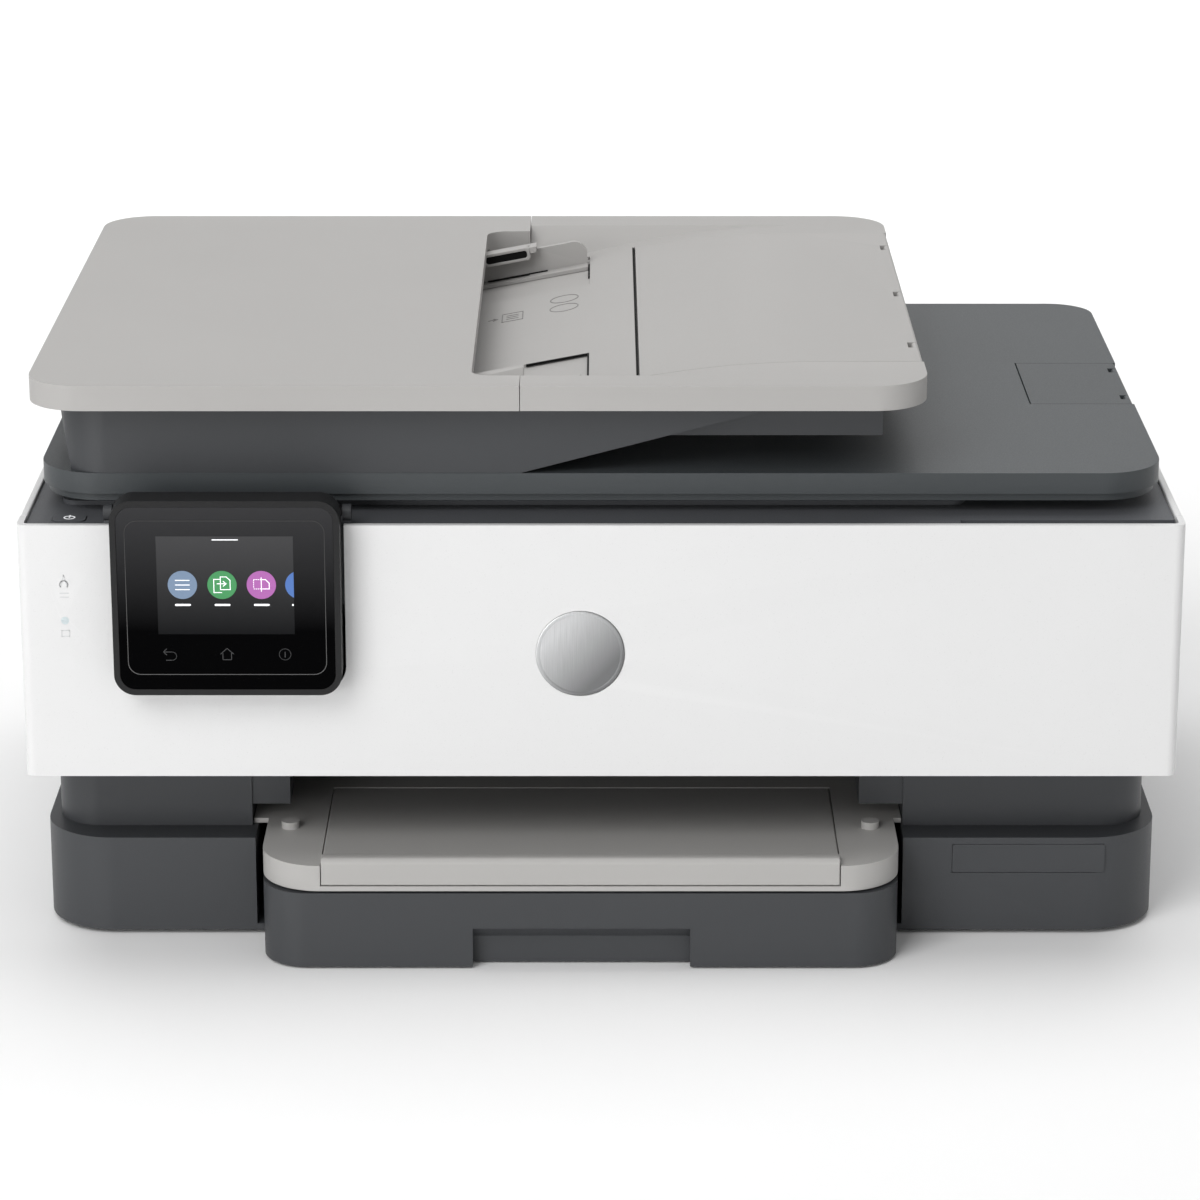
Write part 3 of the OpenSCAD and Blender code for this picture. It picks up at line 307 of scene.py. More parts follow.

# colour, roughness, grain in mm, bump, mottle, painted highlight on edges, specular level
PLASTICS = {
    "white_shell": ((0.7, 0.7, 0.7), 0.32, 0.6, 0.05, 0.006, 0.05),
    "light_shell": ((0.385, 0.376, 0.366), 0.5, 0.45, 0.16, 0.012, 0.08, 0.4),
    "output_shell": ((0.41, 0.402, 0.39), 0.48, 0.45, 0.14, 0.012, 0.08, 0.4),
    "dark_shell": ((0.042, 0.0445, 0.0485), 0.46, 0.5, 0.18, 0.03, 0.1, 0.45),
    "deck_shell": ((0.088, 0.092, 0.1), 0.5, 0.45, 0.2, 0.03, 0.1, 0.4),
    "bed_shell": ((0.088, 0.092, 0.1), 0.5, 0.45, 0.2, 0.03, 0.1, 0.4),
    "lid_shell": ((0.05, 0.0565, 0.0605), 0.44, 0.5, 0.14, 0.025, 0.12, 0.45),
    "inner_plastic": ((0.032, 0.033, 0.037), 0.5, 0.5, 0.2, 0.05, 0.15, 0.35),
    "panel_black": ((0.0075, 0.0075, 0.008), 0.38, 0.4, 0.06, 0.02, 0.1, 0.3),
    "white_gear": ((0.72, 0.72, 0.68), 0.38, 0.8, 0.05, 0.02, 0.05),
    "liner_white": ((0.78, 0.78, 0.76), 0.5, 0.8, 0.08, 0.01, 0.05),
    "pad_white": ((0.74, 0.74, 0.72), 0.85, 0.35, 0.35, 0.012, 0.0, 0.15),
    "rubber": ((0.012, 0.012, 0.012), 0.78, 0.6, 0.3, 0.06, 0.2, 0.25),
    "feeder_rubber": ((0.03, 0.06, 0.13), 0.72, 0.5, 0.3, 0.05, 0.1, 0.3),
    "tray_part": ((0.075, 0.077, 0.084), 0.48, 0.5, 0.16, 0.03, 0.1, 0.4),
    "ink_black": ((0.018, 0.018, 0.018), 0.42, 0.6, 0.1, 0.03, 0.1),
    # painted shade, put in gaps, hollows and recesses
    "painted_shade_black": ((0.006, 0.006, 0.006), 0.7, 0.5, 0.1, 0.02, 0.0, 0.1),
    "socket_plastic": ((0.5, 0.5, 0.48), 0.45, 0.4, 0.1, 0.02, 0.05),
    "faint_mark": ((0.6, 0.61, 0.615), 0.4, 0.6, 0.05, 0.01, 0.0),
    # raised marks are painted darker than the plastic they are moulded in, painted shade
    "embossed_mark": ((0.2, 0.196, 0.19), 0.5, 0.45, 0.1, 0.01, 0.0, 0.4),
    "label_white": ((0.66, 0.66, 0.64), 0.55, 0.5, 0.05, 0.02, 0.0, 0.3),
    "printed_white": ((0.6, 0.6, 0.6), 0.5, 0.5, 0.05, 0.01, 0.0),
    "encoder_film": ((0.3, 0.31, 0.3), 0.25, 0.3, 0.02, 0.05, 0.0),
    "floor_paper": ((0.9, 0.9, 0.9), 0.8, 3.0, 0.02, 0.004, 0.0, 0.2),
}
LOOKS = {name: plastic(name, *row) for name, row in PLASTICS.items()}
repaint(LOOKS["bed_shell"], lambda tree, old: tint_past(tree, old, "Z", BLOCKS_FROM, (0.03, 0.032, 0.035)))
LOOKS.update({
    "bright_steel": metal("bright_steel", (0.62, 0.63, 0.64), 0.24, (0.03, 1, 1)),
    "sheet_steel": metal("sheet_steel", (0.5, 0.51, 0.52), 0.38, (0.15, 1, 1), 500.0, 0.08),
    "motor_steel": metal("motor_steel", (0.36, 0.37, 0.385), 0.36, (1, 1, 0.05)),
    "brass": metal("brass", (0.63, 0.48, 0.2), 0.3, (1, 1, 0.05)),
    "dark_screw": metal("dark_screw", (0.1, 0.1, 0.105), 0.4),
    "badge": graded_metal("badge", BADGE_X, BADGE_Z, BADGE_R, (0.62, 0.625, 0.63), (0.2, 0.202, 0.205)),
    "clear_glass": clear("clear_glass", (0.86, 0.94, 0.93)),
    "light_pipe": clear("light_pipe", (0.62, 0.7, 0.72), 0.3, 0.15),
    "circuit_board": board("circuit_board", 148.5, 150.3),
    # the panel's glass is painted with a reflection that is lighter towards the top
    "panel_glass": fade("panel_glass", (0.038, 0.038, 0.04), (0.0006, 0.0006, 0.0008), 190, 140, 0.14, 0.02),
    "display": fade("display", (0.055, 0.055, 0.057), (0.008, 0.0083, 0.009), 179, 139, 0.3, 0.03, 0.1),
    "inner_line": fade("inner_line", (0.05, 0.05, 0.05), (0.11, 0.11, 0.11), 180, 124, 0.35, 0.2),
    "ink_colours": by_x("ink_colours", (0.03, 0.3, 0.52),
                        [(155, (0.5, 0.04, 0.22)), (179, (0.72, 0.52, 0.03))]),
    "screen_mark": lit("screen_mark", (0.85, 0.86, 0.88), 0.5),
    "key_mark": lit("key_mark", (0.036, 0.036, 0.038), 0.2),
    "power_white": lit("power_white", (0.82, 0.83, 0.84), 0.35),
})
# CAD nodes that don't take the look of their slot
NODE_LOOKS = {
    "scanner_bed": "bed_shell", "power_button": "deck_shell", "lift_plate": "sheet_steel",
    "adf_pickup_roller": "feeder_rubber", "tray_guide_left": "tray_part",
    "tray_guide_right": "tray_part", "length_guide": "tray_part",
}

# ---- edges of the CAD nodes ----

# radius of the moulded edges, in mm
EDGES = {
    "front_door": 0.9, "side_panel_left": 0.9, "side_panel_right": 0.9, "scanner_lid": 1.0,
    "adf_body": 0.8, "adf_cover": 1.1, "adf_tray": 0.7, "adf_flap": 0.45, "output_stop": 0.3,
    "base_shell": 1.2, "mid_body": 0.9, "input_tray": 1.1, "output_tray": 1.0,
    "output_extension": 0.7, "panel_housing": 1.3, "panel_glass": 0, "display": 0,
    "scanner_bed": 0.5, "power_button": 0.3, "adf_guide_rear": 0.5, "adf_guide_front": 0.5,
    "rear_panel": 0.5, "rear_access_door": 0.5, "upper_frame": 0.5, "carriage": 0.8,
    "black_cartridge": 0.9, "colour_cartridges": 0.9, "scan_bar": 0.6, "power_supply": 0.8,
    "rubber_feet": 0.6, "label_plate": 0.2, "scanner_glass": 0.2, "lid_hinge_brackets": 0.5,
}
DEFAULT_EDGE = 0.25
# an edge is smoothed up to the first angle, and rounded from the second one on, in degrees
SMOOTH_UP_TO, ROUND_FROM = 32, 36
# corners closer than this are one corner, in mm
WELD = 0.01


def soft_edges():
    """A modifier group that keeps sharp edges sharp and smooths the rest."""
    group = bpy.data.node_groups.new("soft_edges", "GeometryNodeTree")
    for way in ("INPUT", "OUTPUT"):
        group.interface.new_socket("Geometry", in_out=way, socket_type="NodeSocketGeometry")
    start, end = group.nodes.new("NodeGroupInput"), group.nodes.new("NodeGroupOutput")
    faces = group.nodes.new("GeometryNodeSetShadeSmooth")
    edges = group.nodes.new("GeometryNodeSetShadeSmooth")
    edges.domain = "EDGE"
    angle = group.nodes.new("GeometryNodeInputMeshEdgeAngle")
    test = group.nodes.new("FunctionNodeCompare")
    test.data_type, test.operation = "FLOAT", "LESS_EQUAL"
    test.inputs["B"].default_value = math.radians(SMOOTH_UP_TO)
    group.links.new(start.outputs[0], faces.inputs["Geometry"])
    group.links.new(faces.outputs["Geometry"], edges.inputs["Geometry"])
    group.links.new(angle.outputs["Unsigned Angle"], test.inputs["A"])
    group.links.new(test.outputs["Result"], edges.inputs["Shade Smooth"])
    group.links.new(edges.outputs["Geometry"], end.inputs[0])
    return group


SOFT_EDGES = soft_edges()


def round_edges(ob, width, segments):
    """Rounds an object's sharp edges by modifiers, and smooths its curved faces."""
    if width:
        bevel = ob.modifiers.new("bevel", "BEVEL")
        bevel.width = width * MM
        bevel.segments = segments
        bevel.limit_method = "ANGLE"
        bevel.angle_limit = math.radians(ROUND_FROM)
        bevel.use_clamp_overlap = True
        bevel.miter_outer = "MITER_ARC"
    ob.modifiers.new("soft", "NODES").node_group = SOFT_EDGES
    ob.modifiers.new("normals", "WEIGHTED_NORMAL").keep_sharp = True


SLOT_OF = {row["node"]: row["material_slot"] for row in frame["record"]["subparts"]}
for node_name, ob in nodes.items():
    mesh = ob.data
    if "custom_normal" in mesh.attributes:
        mesh.attributes.remove(mesh.attributes["custom_normal"])
    mesh.materials.clear()
    mesh.materials.append(LOOKS[NODE_LOOKS.get(node_name, SLOT_OF[node_name])])
    ob.modifiers.new("weld", "WELD").merge_threshold = WELD * MM
    round_edges(ob, EDGES.get(node_name, DEFAULT_EDGE), segments=3)


# ---- building pieces ----

class Plane:
    """A flat place to draw on: (a, b) goes right and up, and height stands out of it."""

    def __init__(self, origin, right, up):
        self.origin, self.right, self.up = Vector(origin), Vector(right), Vector(up)
        self.out = self.right.cross(self.up)

    def at(self, a, b, height=0.0):
        """The point at (a, b), in metres."""
        return (self.origin + self.right * a + self.up * b + self.out * height) * MM


def front_at(y):
    """An upright plane seen from the front, where (a, b) is (x, z)."""
    return Plane((0, y, 0), (1, 0, 0), (0, 0, 1))


def back_at(y):
    """An upright plane seen from behind, where (a, b) is (-x, z)."""
    return Plane((0, y, 0), (-1, 0, 0), (0, 0, 1))


def top_at(z):
    """A level plane seen from above, where (a, b) is (x, y)."""
    return Plane((0, 0, z), (1, 0, 0), (0, 1, 0))


def turned(angle):
    """The cosine and the sine of an angle in degrees."""
    return math.cos(math.radians(angle)), math.sin(math.radians(angle))


def arc(cx, cy, r, start, end, steps, r_up=None):
    """Points on an arc between two angles. r_up is the upright radius of an oval."""
    out = []
    for i in range(steps + 1):
        c, s = turned(start + (end - start) * i / steps)
        out.append((cx + r * c, cy + (r_up or r) * s))
    return out


def disc(cx, cy, r, steps=48, r_up=None):
    """The outline of a disc or an oval."""
    return arc(cx, cy, r, 0, 360, steps, r_up)[:-1]


def round_rect(x0, x1, y0, y1, r, steps=8):
    """The outline of a rectangle with round corners, counter-clockwise."""
    r = min(r, (x1 - x0) / 2 - 0.001, (y1 - y0) / 2 - 0.001)
    corners = ((x1 - r, y0 + r, -90), (x1 - r, y1 - r, 0), (x0 + r, y1 - r, 90), (x0 + r, y0 + r, 180))
    return [p for cx, cy, start in corners for p in arc(cx, cy, r, start, start + 90, steps)]


def full_turn(steps):
    """Angles round a full turn, in radians."""
    return [2 * math.pi * s / steps for s in range(steps)]


class Build:
    """One mesh that collects several shapes and becomes one piece."""

    def __init__(self, name):
        self.name, self.bm = name, bmesh.new()

    def loops(self, rings, closed=False):
        """Faces between rings of points that all have the same count, and end faces if they aren't closed."""
        made = [[self.bm.verts.new(p) for p in ring] for ring in rings]
        pairs = list(zip(made, made[1:])) + ([(made[-1], made[0])] if closed else [])
        for low, high in pairs:
            for i in range(len(low)):
                k = (i + 1) % len(low)
                self.bm.faces.new((low[i], low[k], high[k], high[i]))
        if not closed:
            self.bm.faces.new(list(reversed(made[0])))
            self.bm.faces.new(made[-1])

    def prism(self, outline, plane, low, high):
        """A flat outline between two heights over a plane."""
        self.loops([[plane.at(a, b, h) for a, b in outline] for h in (low, high)])

    def frame_ring(self, outer, inner, plane, low, high):
        """A flat ring between two outlines with the same count of points."""
        rings = [[plane.at(a, b, h) for a, b in line]
                 for line, h in ((outer, low), (outer, high), (inner, high), (inner, low))]
        self.loops(rings, closed=True)

    def stroke(self, plane, points, width, low, high, closed=False):
        """Straight strokes from point to point, each one a thin bar on a plane."""
        ends = points[1:] + ([points[0]] if closed else [])
        for start, end in zip(points, ends):
            start, end = Vector(start), Vector(end)
            tip = (end - start).normalized() * width / 2
            side = Vector((-tip.y, tip.x))
            self.prism([start - tip - side, end + tip - side, end + tip + side, start - tip + side],
                       plane, low, high)

    def bar(self, outline, y0, y1):
        """An outline of (x, z) between two Y."""
        self.loops([[Vector((x, y, z)) * MM for x, z in outline] for y in (y0, y1)])

    def wire(self, points, radius, sides):
        """A round wire along points given in mm."""
        line = [Vector(p) for p in points]
        # a direction that no stretch of the wire runs along
        aside = Vector((0.31, 0.87, 0.38))
        rings = []
        for i, p in enumerate(line):
            along = (line[min(i + 1, len(line) - 1)] - line[max(i - 1, 0)]).normalized()
            side = along.cross(aside).normalized()
            other = along.cross(side)
            rings.append([(p + (side * math.cos(t) + other * math.sin(t)) * radius) * MM
                          for t in full_turn(sides)])
        self.loops(rings)

    def lathe(self, profile, centre, axis, start, steps):
        """A profile of (radius, height) turned about an axis through centre."""
        n, a = Vector(axis), Vector(start)
        b = n.cross(a)
        self.loops([[(Vector(centre) + n * h + (a * math.cos(t) + b * math.sin(t)) * r) * MM
                     for t in full_turn(steps)] for r, h in profile])

    def done(self, body, slot, look, edge=0.0, replaces=()):
        """Makes the piece, which rides on a CAD body. edge is the radius of its edges in mm."""
        bmesh.ops.recalc_face_normals(self.bm, faces=self.bm.faces)
        mesh = bpy.data.meshes.new(self.name)
        self.bm.to_mesh(mesh)
        self.bm.free()
        ob = bpy.data.objects.new(self.name, mesh)
        bpy.context.scene.collection.objects.link(ob)
        mesh.materials.append(look)
        round_edges(ob, edge, segments=2)
        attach(ob, body)
        if replaces:
            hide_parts(*replaces)
        return ob


# ---- control panel ----

glass = front_at(box_mm("panel_glass")[0].y)
display_low, display_high = box_mm("display")
screen = front_at(display_low.y)

line = Build("panel_inner_line")
line.frame_ring(round_rect(-186.3, -108.0, 122.1, 185.3, 5),
                round_rect(-186.05, -108.25, 122.35, 185.05, 4.8), glass, 0.0, 0.12)
line.done("control_panel", "panel_black", LOOKS["inner_line"])

ICON_Z, ICON_R, ICON_GLOW = 159.1, 5.75, 0.75
# heights of the icons and of the marks on them, over the screen
ICON_TOP, MARK_TOP = 0.1, 0.18
LIST_X, COPY_X, FOLD_X, CUT_X = -164.0, -148.5, -133.1, -118.0
# the fourth icon is cut off by the screen's right edge
cut = math.degrees(math.acos((CUT_X - display_high.x) / ICON_R))
ICONS = (
    (disc(LIST_X, ICON_Z, ICON_R), (0.105, 0.15, 0.22)),
    (disc(COPY_X, ICON_Z, ICON_R), (0.028, 0.17, 0.055)),
    (disc(FOLD_X, ICON_Z, ICON_R), (0.25, 0.072, 0.245)),
    (arc(CUT_X, ICON_Z, ICON_R, 180 - cut, 180 + cut, 18), (0.04, 0.1, 0.28)),
)
for i, (outline, tint) in enumerate(ICONS, 1):
    icon = Build(f"screen_icon_{i}")
    icon.prism(outline, screen, 0.0, ICON_TOP)
    icon.done("control_panel", "display", lit(f"icon_tint_{i}", tint, ICON_GLOW))

marks = Build("screen_marks")
PEN, DASH_PEN = 0.3, 0.24
# the handle at the top of the screen, the start of a fourth bar, and a bar under each whole icon
bars = [(-152.1, -141.8, 177.3, 177.68, 0.18), (-121.2, -120.6, 150.5, 151.3, 0.2)]
bars += [(x - 3.1, x + 3.1, 150.5, 151.3, 0.4) for x in (LIST_X, COPY_X, FOLD_X)]
for x0, x1, z0, z1, r in bars:
    marks.prism(round_rect(x0, x1, z0, z1, r, 3), screen, 0.0, ICON_TOP)
for z in (ICON_Z - 1.9, ICON_Z, ICON_Z + 1.9):
    marks.prism(round_rect(LIST_X - 2.9, LIST_X + 2.9, z - 0.16, z + 0.16, 0.15, 3),
                screen, ICON_TOP, MARK_TOP)


def mark(x, offsets, width=PEN):
    """Strokes on an icon, through points given from its centre."""
    points = [(x + dx, ICON_Z + dz) for dx, dz in offsets]
    marks.stroke(screen, points, width, ICON_TOP, MARK_TOP)


# two sheets with an arrow
mark(COPY_X, [(-0.2, -3.1), (-3.2, -3.1), (-3.2, 2.3), (-1.0, 2.3)])
mark(COPY_X, [(-0.6, -1.9), (3.2, -1.9), (3.2, 1.9), (1.7, 3.3), (-0.6, 3.3), (-0.6, -1.9)])
mark(COPY_X, [(-1.9, 0.5), (1.6, 0.5)])
mark(COPY_X, [(0.5, 1.5), (1.6, 0.5), (0.5, -0.5)])
# a sheet with a fold line, whose left half is dashed
mark(FOLD_X, [(0, -2.6), (0, 2.9)])
mark(FOLD_X, [(0.3, 2.2), (1.7, 2.2), (3.1, 0.7), (3.1, -1.6), (0.3, -1.6)])
for k in range(4):
    for dz in (2.2, -1.6):
        mark(FOLD_X, [(-2.9 + k * 0.8, dz), (-2.6 + k * 0.8, dz)], DASH_PEN)
    mark(FOLD_X, [(-3.0, -0.9 + k * 0.85), (-3.0, -0.6 + k * 0.85)], DASH_PEN)
marks.done("control_panel", "display", LOOKS["screen_mark"])

keys = Build("panel_soft_keys")
KEY_Z, KEY_PEN, KEY_TOP = 130.5, 0.26, 0.05
BACK_X, HOME_X, INFO_X = -170.0, -147.2, -124.4


def key(x, offsets, width=KEY_PEN, closed=False):
    """Strokes of a touch key, through points given from its centre."""
    keys.stroke(glass, [(x + dx, KEY_Z + dz) for dx, dz in offsets], width, 0, KEY_TOP, closed)


# an arrow back, a house, and a stroke in a ring
key(BACK_X, [(-1.0, 2.2), (-2.3, 1.0), (-1.0, -0.2)])
key(BACK_X, [(-2.3, 1.0)] + arc(1.2, -0.7, 1.7, 90, -90, 8) + [(-1.2, -2.4)])
key(HOME_X, [(-2.5, 0.2), (0, 2.5), (2.5, 0.2)])
key(HOME_X, [(-1.7, 0.4), (-1.7, -2.2), (1.7, -2.2), (1.7, 0.4)])
key(INFO_X, disc(0, 0, 2.3, 24), closed=True)
key(INFO_X, [(0, 0.9), (0, -1.1)], PEN)
keys.done("control_panel", "panel_glass", LOOKS["key_mark"])

# ---- badge, status marks and power mark ----

door_y = box_mm("front_door")[0].y
# radius and height of the badge's rim, its groove and its slightly crowned face
BADGE_PROFILE = ((BADGE_R, -0.9), (BADGE_R, 0.05), (17.45, 0.28), (17.1, 0.4), (16.4, 0.36), (16.1, 0.24),
                 (15.8, 0.22), (15.5, 0.3), (8.0, 0.37), (0.4, 0.38))
badge = Build("silver_badge")
badge.lathe(BADGE_PROFILE, (BADGE_X, door_y, BADGE_Z), (0, -1, 0), (1, 0, 0), 96)
badge.done("front_door", "badge", LOOKS["badge"], replaces=("round_badge",))

faint = Build("status_marks")
door = front_at(door_y)
STATUS_X, STATUS_TOP = -212.0, 0.12


def status(z, offsets, width=0.35, closed=False):
    """Strokes beside the status light, through points given from a height."""
    points = [(STATUS_X + dx, z + dz) for dx, dz in offsets]
    faint.stroke(door, points, width, 0, STATUS_TOP, closed)


# a drop, two lines and a sheet
status(155.6, arc(0, 0, 1.6, 215, -35, 14) + [(0, 3.8)], closed=True)
for z in (150.4, 152.0):
    status(z, [(-1.6, 0), (1.6, 0)])
status(134.2, [(-1.5, 0), (1.5, 0), (1.5, 2.4), (-1.5, 2.4)], 0.3, closed=True)
faint.done("front_door", "white_shell", LOOKS["faint_mark"])

button_low, button_high = box_mm("power_button")
button_x, button_y = (button_low.x + button_high.x) / 2, (button_low.y + button_high.y) / 2
button = top_at(button_high.z)
power = Build("power_mark")
power.frame_ring(disc(button_x, button_y, 2.35, 40), disc(button_x, button_y, 1.75, 40), button, 0.0, 0.08)
power.prism(round_rect(button_x - 0.35, button_x + 0.35, button_y - 0.4, button_y + 3.1, 0.3, 3),
            button, 0.08, 0.14)
power.done("power_button", "white_shell", LOOKS["power_white"])

# ---- document feeder ----

# x and z of the feeder's floor, which slopes up from inside the mouth to the folded tray
FLOOR_LINE = ((-78, 209.9), (-51.4, 215), (15, 227.6), (35, 230.6), (52, 232.6), (70, 233.7), (129, 234))


def floor_z(x):
    """Height of the feeder's floor."""
    for (x0, z0), (x1, z1) in zip(FLOOR_LINE, FLOOR_LINE[1:]):
        if x <= x1:
            return z0 + (z1 - z0) * (x - x0) / (x1 - x0)
    return FLOOR_LINE[-1][1]


def floor_bar(build, x0, x1, y0, y1, low, high):
    """A bar that lies along the feeder's floor, between two heights over it."""
    build.bar([(x0, floor_z(x0) + low), (x1, floor_z(x1) + low),
               (x1, floor_z(x1) + high), (x0, floor_z(x0) + high)], y0, y1)


# painted shade in the gaps: dark strips beside the tray, at the right ends of the two guides' ways, and behind
# the front guide's way
gaps = Build("feeder_slot_shade")
floor_bar(gaps, 14.2, 14.95, -103.3, 133.6, -2.8, -0.35)
floor_bar(gaps, -5.75, -5.05, 93.0, 116.0, -1.35, -0.05)
floor_bar(gaps, -5.75, -5.05, -119.0, -48.5, -1.35, -0.05)
floor_bar(gaps, -31.0, -5.1, -48.9, -47.95, -0.95, -0.04)
gaps.done("scanner_lid", "panel_black", LOOKS["painted_shade_black"])
# a painted shadow along the foot of the rear guide's wall
foot = Build("guide_foot_shade_rear")
floor_bar(foot, -51.0, -24.0, 115.2, 117.5, 0.3, 0.6)
foot.done("adf_guide_rear", "panel_black", LOOKS["painted_shade_black"])

(mouth_x, mouth_z), (top_x, top_z) = FLOOR_LINE[1:3]
slope = Vector((top_x - mouth_x, 0, top_z - mouth_z)).normalized()
grip_front = Plane((-51.0, 111.3, floor_z(-51.0)), slope, (-slope.z, 0, slope.x))
grip = Build("guide_grip_rim")
grip.frame_ring(round_rect(0.3, 21.6, 8.0, 13.8, 1.6), round_rect(1.5, 20.2, 9.3, 12.5, 1.2),
                grip_front, -6.1, 0.5)
grip.done("adf_guide_rear", "light_shell", LOOKS["light_shell"], 0.35)
# a dark plate inside the grip's rim: painted shade in its hollow
hollow = Build("guide_grip_hollow")
hollow.prism(round_rect(1.3, 20.4, 9.1, 12.7, 1.2), grip_front, 0.02, 0.16)
hollow.done("adf_guide_rear", "panel_black", LOOKS["painted_shade_black"])

# raised marks, painted darker than the floor as painted shade along their edges: two ovals, and a sheet of text
# with an arrow that points at it
sloping_floor = Plane((-30, 0, floor_z(-30)), slope, (0, 1, 0))
EMBOSS_TOP, EMBOSS_PEN = 0.14, 0.5
emboss = Build("feeder_floor_marks")
for b in (40.5, 57.0):
    emboss.frame_ring(disc(14.2, b, 6.4, 40, 6.6), disc(14.2, b, 5.95, 40, 6.1), sloping_floor, 0, EMBOSS_TOP)
emboss.stroke(sloping_floor, [(-13, 34), (-4, 34), (-4, 48), (-13, 48)], EMBOSS_PEN, 0, EMBOSS_TOP, closed=True)
for b in (38, 41, 44):
    emboss.stroke(sloping_floor, [(-11, b), (-6, b)], 0.45, 0, EMBOSS_TOP)
for points in ([(-19, 41), (-15.2, 41)], [(-16.8, 42.8), (-15.2, 41), (-16.8, 39.2)]):
    emboss.stroke(sloping_floor, points, EMBOSS_PEN, 0, EMBOSS_TOP)
emboss.done("scanner_lid", "light_shell", LOOKS["embossed_mark"])

# curved ribs that turn the paper inside the feeder, and the ribs of its cover over them, as (x, z)
RIB_LINE = ((-201, 197.7), (-201, 205), (-199, 210.5), (-195, 215), (-189, 218.4), (-181, 220.3),
            (-170, 220.8), (-130, 220.2), (-108, 218), (-95, 214.6), (-87, 210.4), (-83.5, 206),
            (-83.5, 197.7))
COVER_LINE = ((-196, 231.8), (-190, 226.4), (-181, 223.9), (-170, 223.4), (-130, 223.3),
              (-106, 224.6), (-92, 227.4), (-84, 231.8))
RIB_COUNT, RIB_PITCH, RIB_HALF = 10, 24.0, 0.8
for name, body, slot, outline, first_y in (
        ("feeder_path_ribs", "scanner_lid", "dark_shell", RIB_LINE, -98),
        ("cover_path_ribs", "adf_cover", "light_shell", COVER_LINE, -92)):
    ribs = Build(name)
    for k in range(RIB_COUNT):
        y = first_y + k * RIB_PITCH
        ribs.bar(outline, y - RIB_HALF, y + RIB_HALF)
    ribs.done(body, slot, LOOKS[slot], 0.25)

# ---- foam pad under the lid ----

# how far the pad's rim is drawn in, and how fast that dies out from it
RIM_SOFT, RIM_REACH = 0.9, 1.6
LUMP, LUMPS_PER_MM = 0.16, 0.05
# the hidden upper face follows a share of the lower one's unevenness, the other way
UPPER_SHARE = -0.3


def foam_pad(name, low_corner, high_corner, nx, ny):
    """A thin foam sheet with a soft, slightly uneven face and round edges, made of nx by ny faces."""
    (x0, y0, z0), (x1, y1, z1) = low_corner, high_corner
    build = Build(name)
    xs = [x0 + (x1 - x0) * i / nx for i in range(nx + 1)]
    ys = [y0 + (y1 - y0) * j / ny for j in range(ny + 1)]

    def lift(x, y, z):
        edge = min(x - x0, x1 - x, y - y0, y1 - y)
        lump = LUMP * noise.noise(Vector((x * LUMPS_PER_MM, y * LUMPS_PER_MM, z)))
        return RIM_SOFT * math.exp(-edge / RIM_REACH) + max(0.0, lump)

    def grid(z, share):
        return [[build.bm.verts.new(Vector((x, y, z + share * lift(x, y, z))) * MM) for x in xs] for y in ys]

    low, high = grid(z0, 1), grid(z1, UPPER_SHARE)
    for j in range(ny):
        for i in range(nx):
            build.bm.faces.new((low[j][i], low[j + 1][i], low[j + 1][i + 1], low[j][i + 1]))
            build.bm.faces.new((high[j][i], high[j][i + 1], high[j + 1][i + 1], high[j + 1][i]))
    ring = [(0, i) for i in range(nx)] + [(j, nx) for j in range(ny)]
    ring += [(ny, i) for i in range(nx, 0, -1)] + [(j, 0) for j in range(ny, 0, -1)]
    for (j0, i0), (j1, i1) in zip(ring, ring[1:] + ring[:1]):
        build.bm.faces.new((low[j0][i0], low[j1][i1], high[j1][i1], high[j0][i0]))
    return build


pad = foam_pad("foam_backing", *box_mm("lid_pad"), 80, 56).done(
    "scanner_lid", "pad_white", LOOKS["pad_white"], replaces=("lid_pad",))

# ---- back: sockets and screws ----

SOCKET_BACK = 151.6
PIN_PITCH, PIN_R = 1.15, 0.18
# left and right end, top, and count of contacts, of the network socket and the two phone sockets
SOCKETS = ((159.4, 172.6, 103.6, 8), (179.4, 188.6, 101.6, 4), (194.4, 203.6, 101.6, 4))
# how far a spring contact stands behind the socket's face, and its height from the socket's top
PIN_LINE = ((-0.2, -0.6), (2.2, -0.7), (4.4, -1.6), (4.8, -2.2), (3.6, -3.6), (-0.1, -6.2))
contacts = Build("socket_contacts")
for x0, x1, top, pins in SOCKETS:
    for i in range(pins):
        x = (x0 + x1) / 2 + (i - (pins - 1) / 2) * PIN_PITCH
        contacts.wire([(x, SOCKET_BACK + dy, top + dz) for dy, dz in PIN_LINE], PIN_R, 6)
contacts.done("printer", "brass", LOOKS["brass"])
socket_face = back_at(SOCKET_BACK)
tongue = Build("usb_tongue")
tongue.prism(round_rect(-150.0, -144.0, 96.0, 98.6, 0.3, 2), socket_face, -0.2, 4.6)
tongue.done("printer", "panel_black", LOOKS["socket_plastic"], 0.15)
shell = Build("usb_shell")
shell.frame_ring(round_rect(-151.5, -142.5, 93.0, 101.5, 0.9, 3),
                 round_rect(-151.1, -142.9, 93.4, 101.1, 0.6, 3), socket_face, -0.2, 5.7)
shell.done("printer", "bright_steel", LOOKS["bright_steel"])

SCREW_BACK = 157.9
SCREWS = ((-207, 168), (207, 168), (-150, 50), (118, 50), (207, 62))
SCREW_PROFILE = ((3.2, 0), (3.2, 0.5), (2.9, 1.1), (2.2, 1.5), (1.2, 1.65))
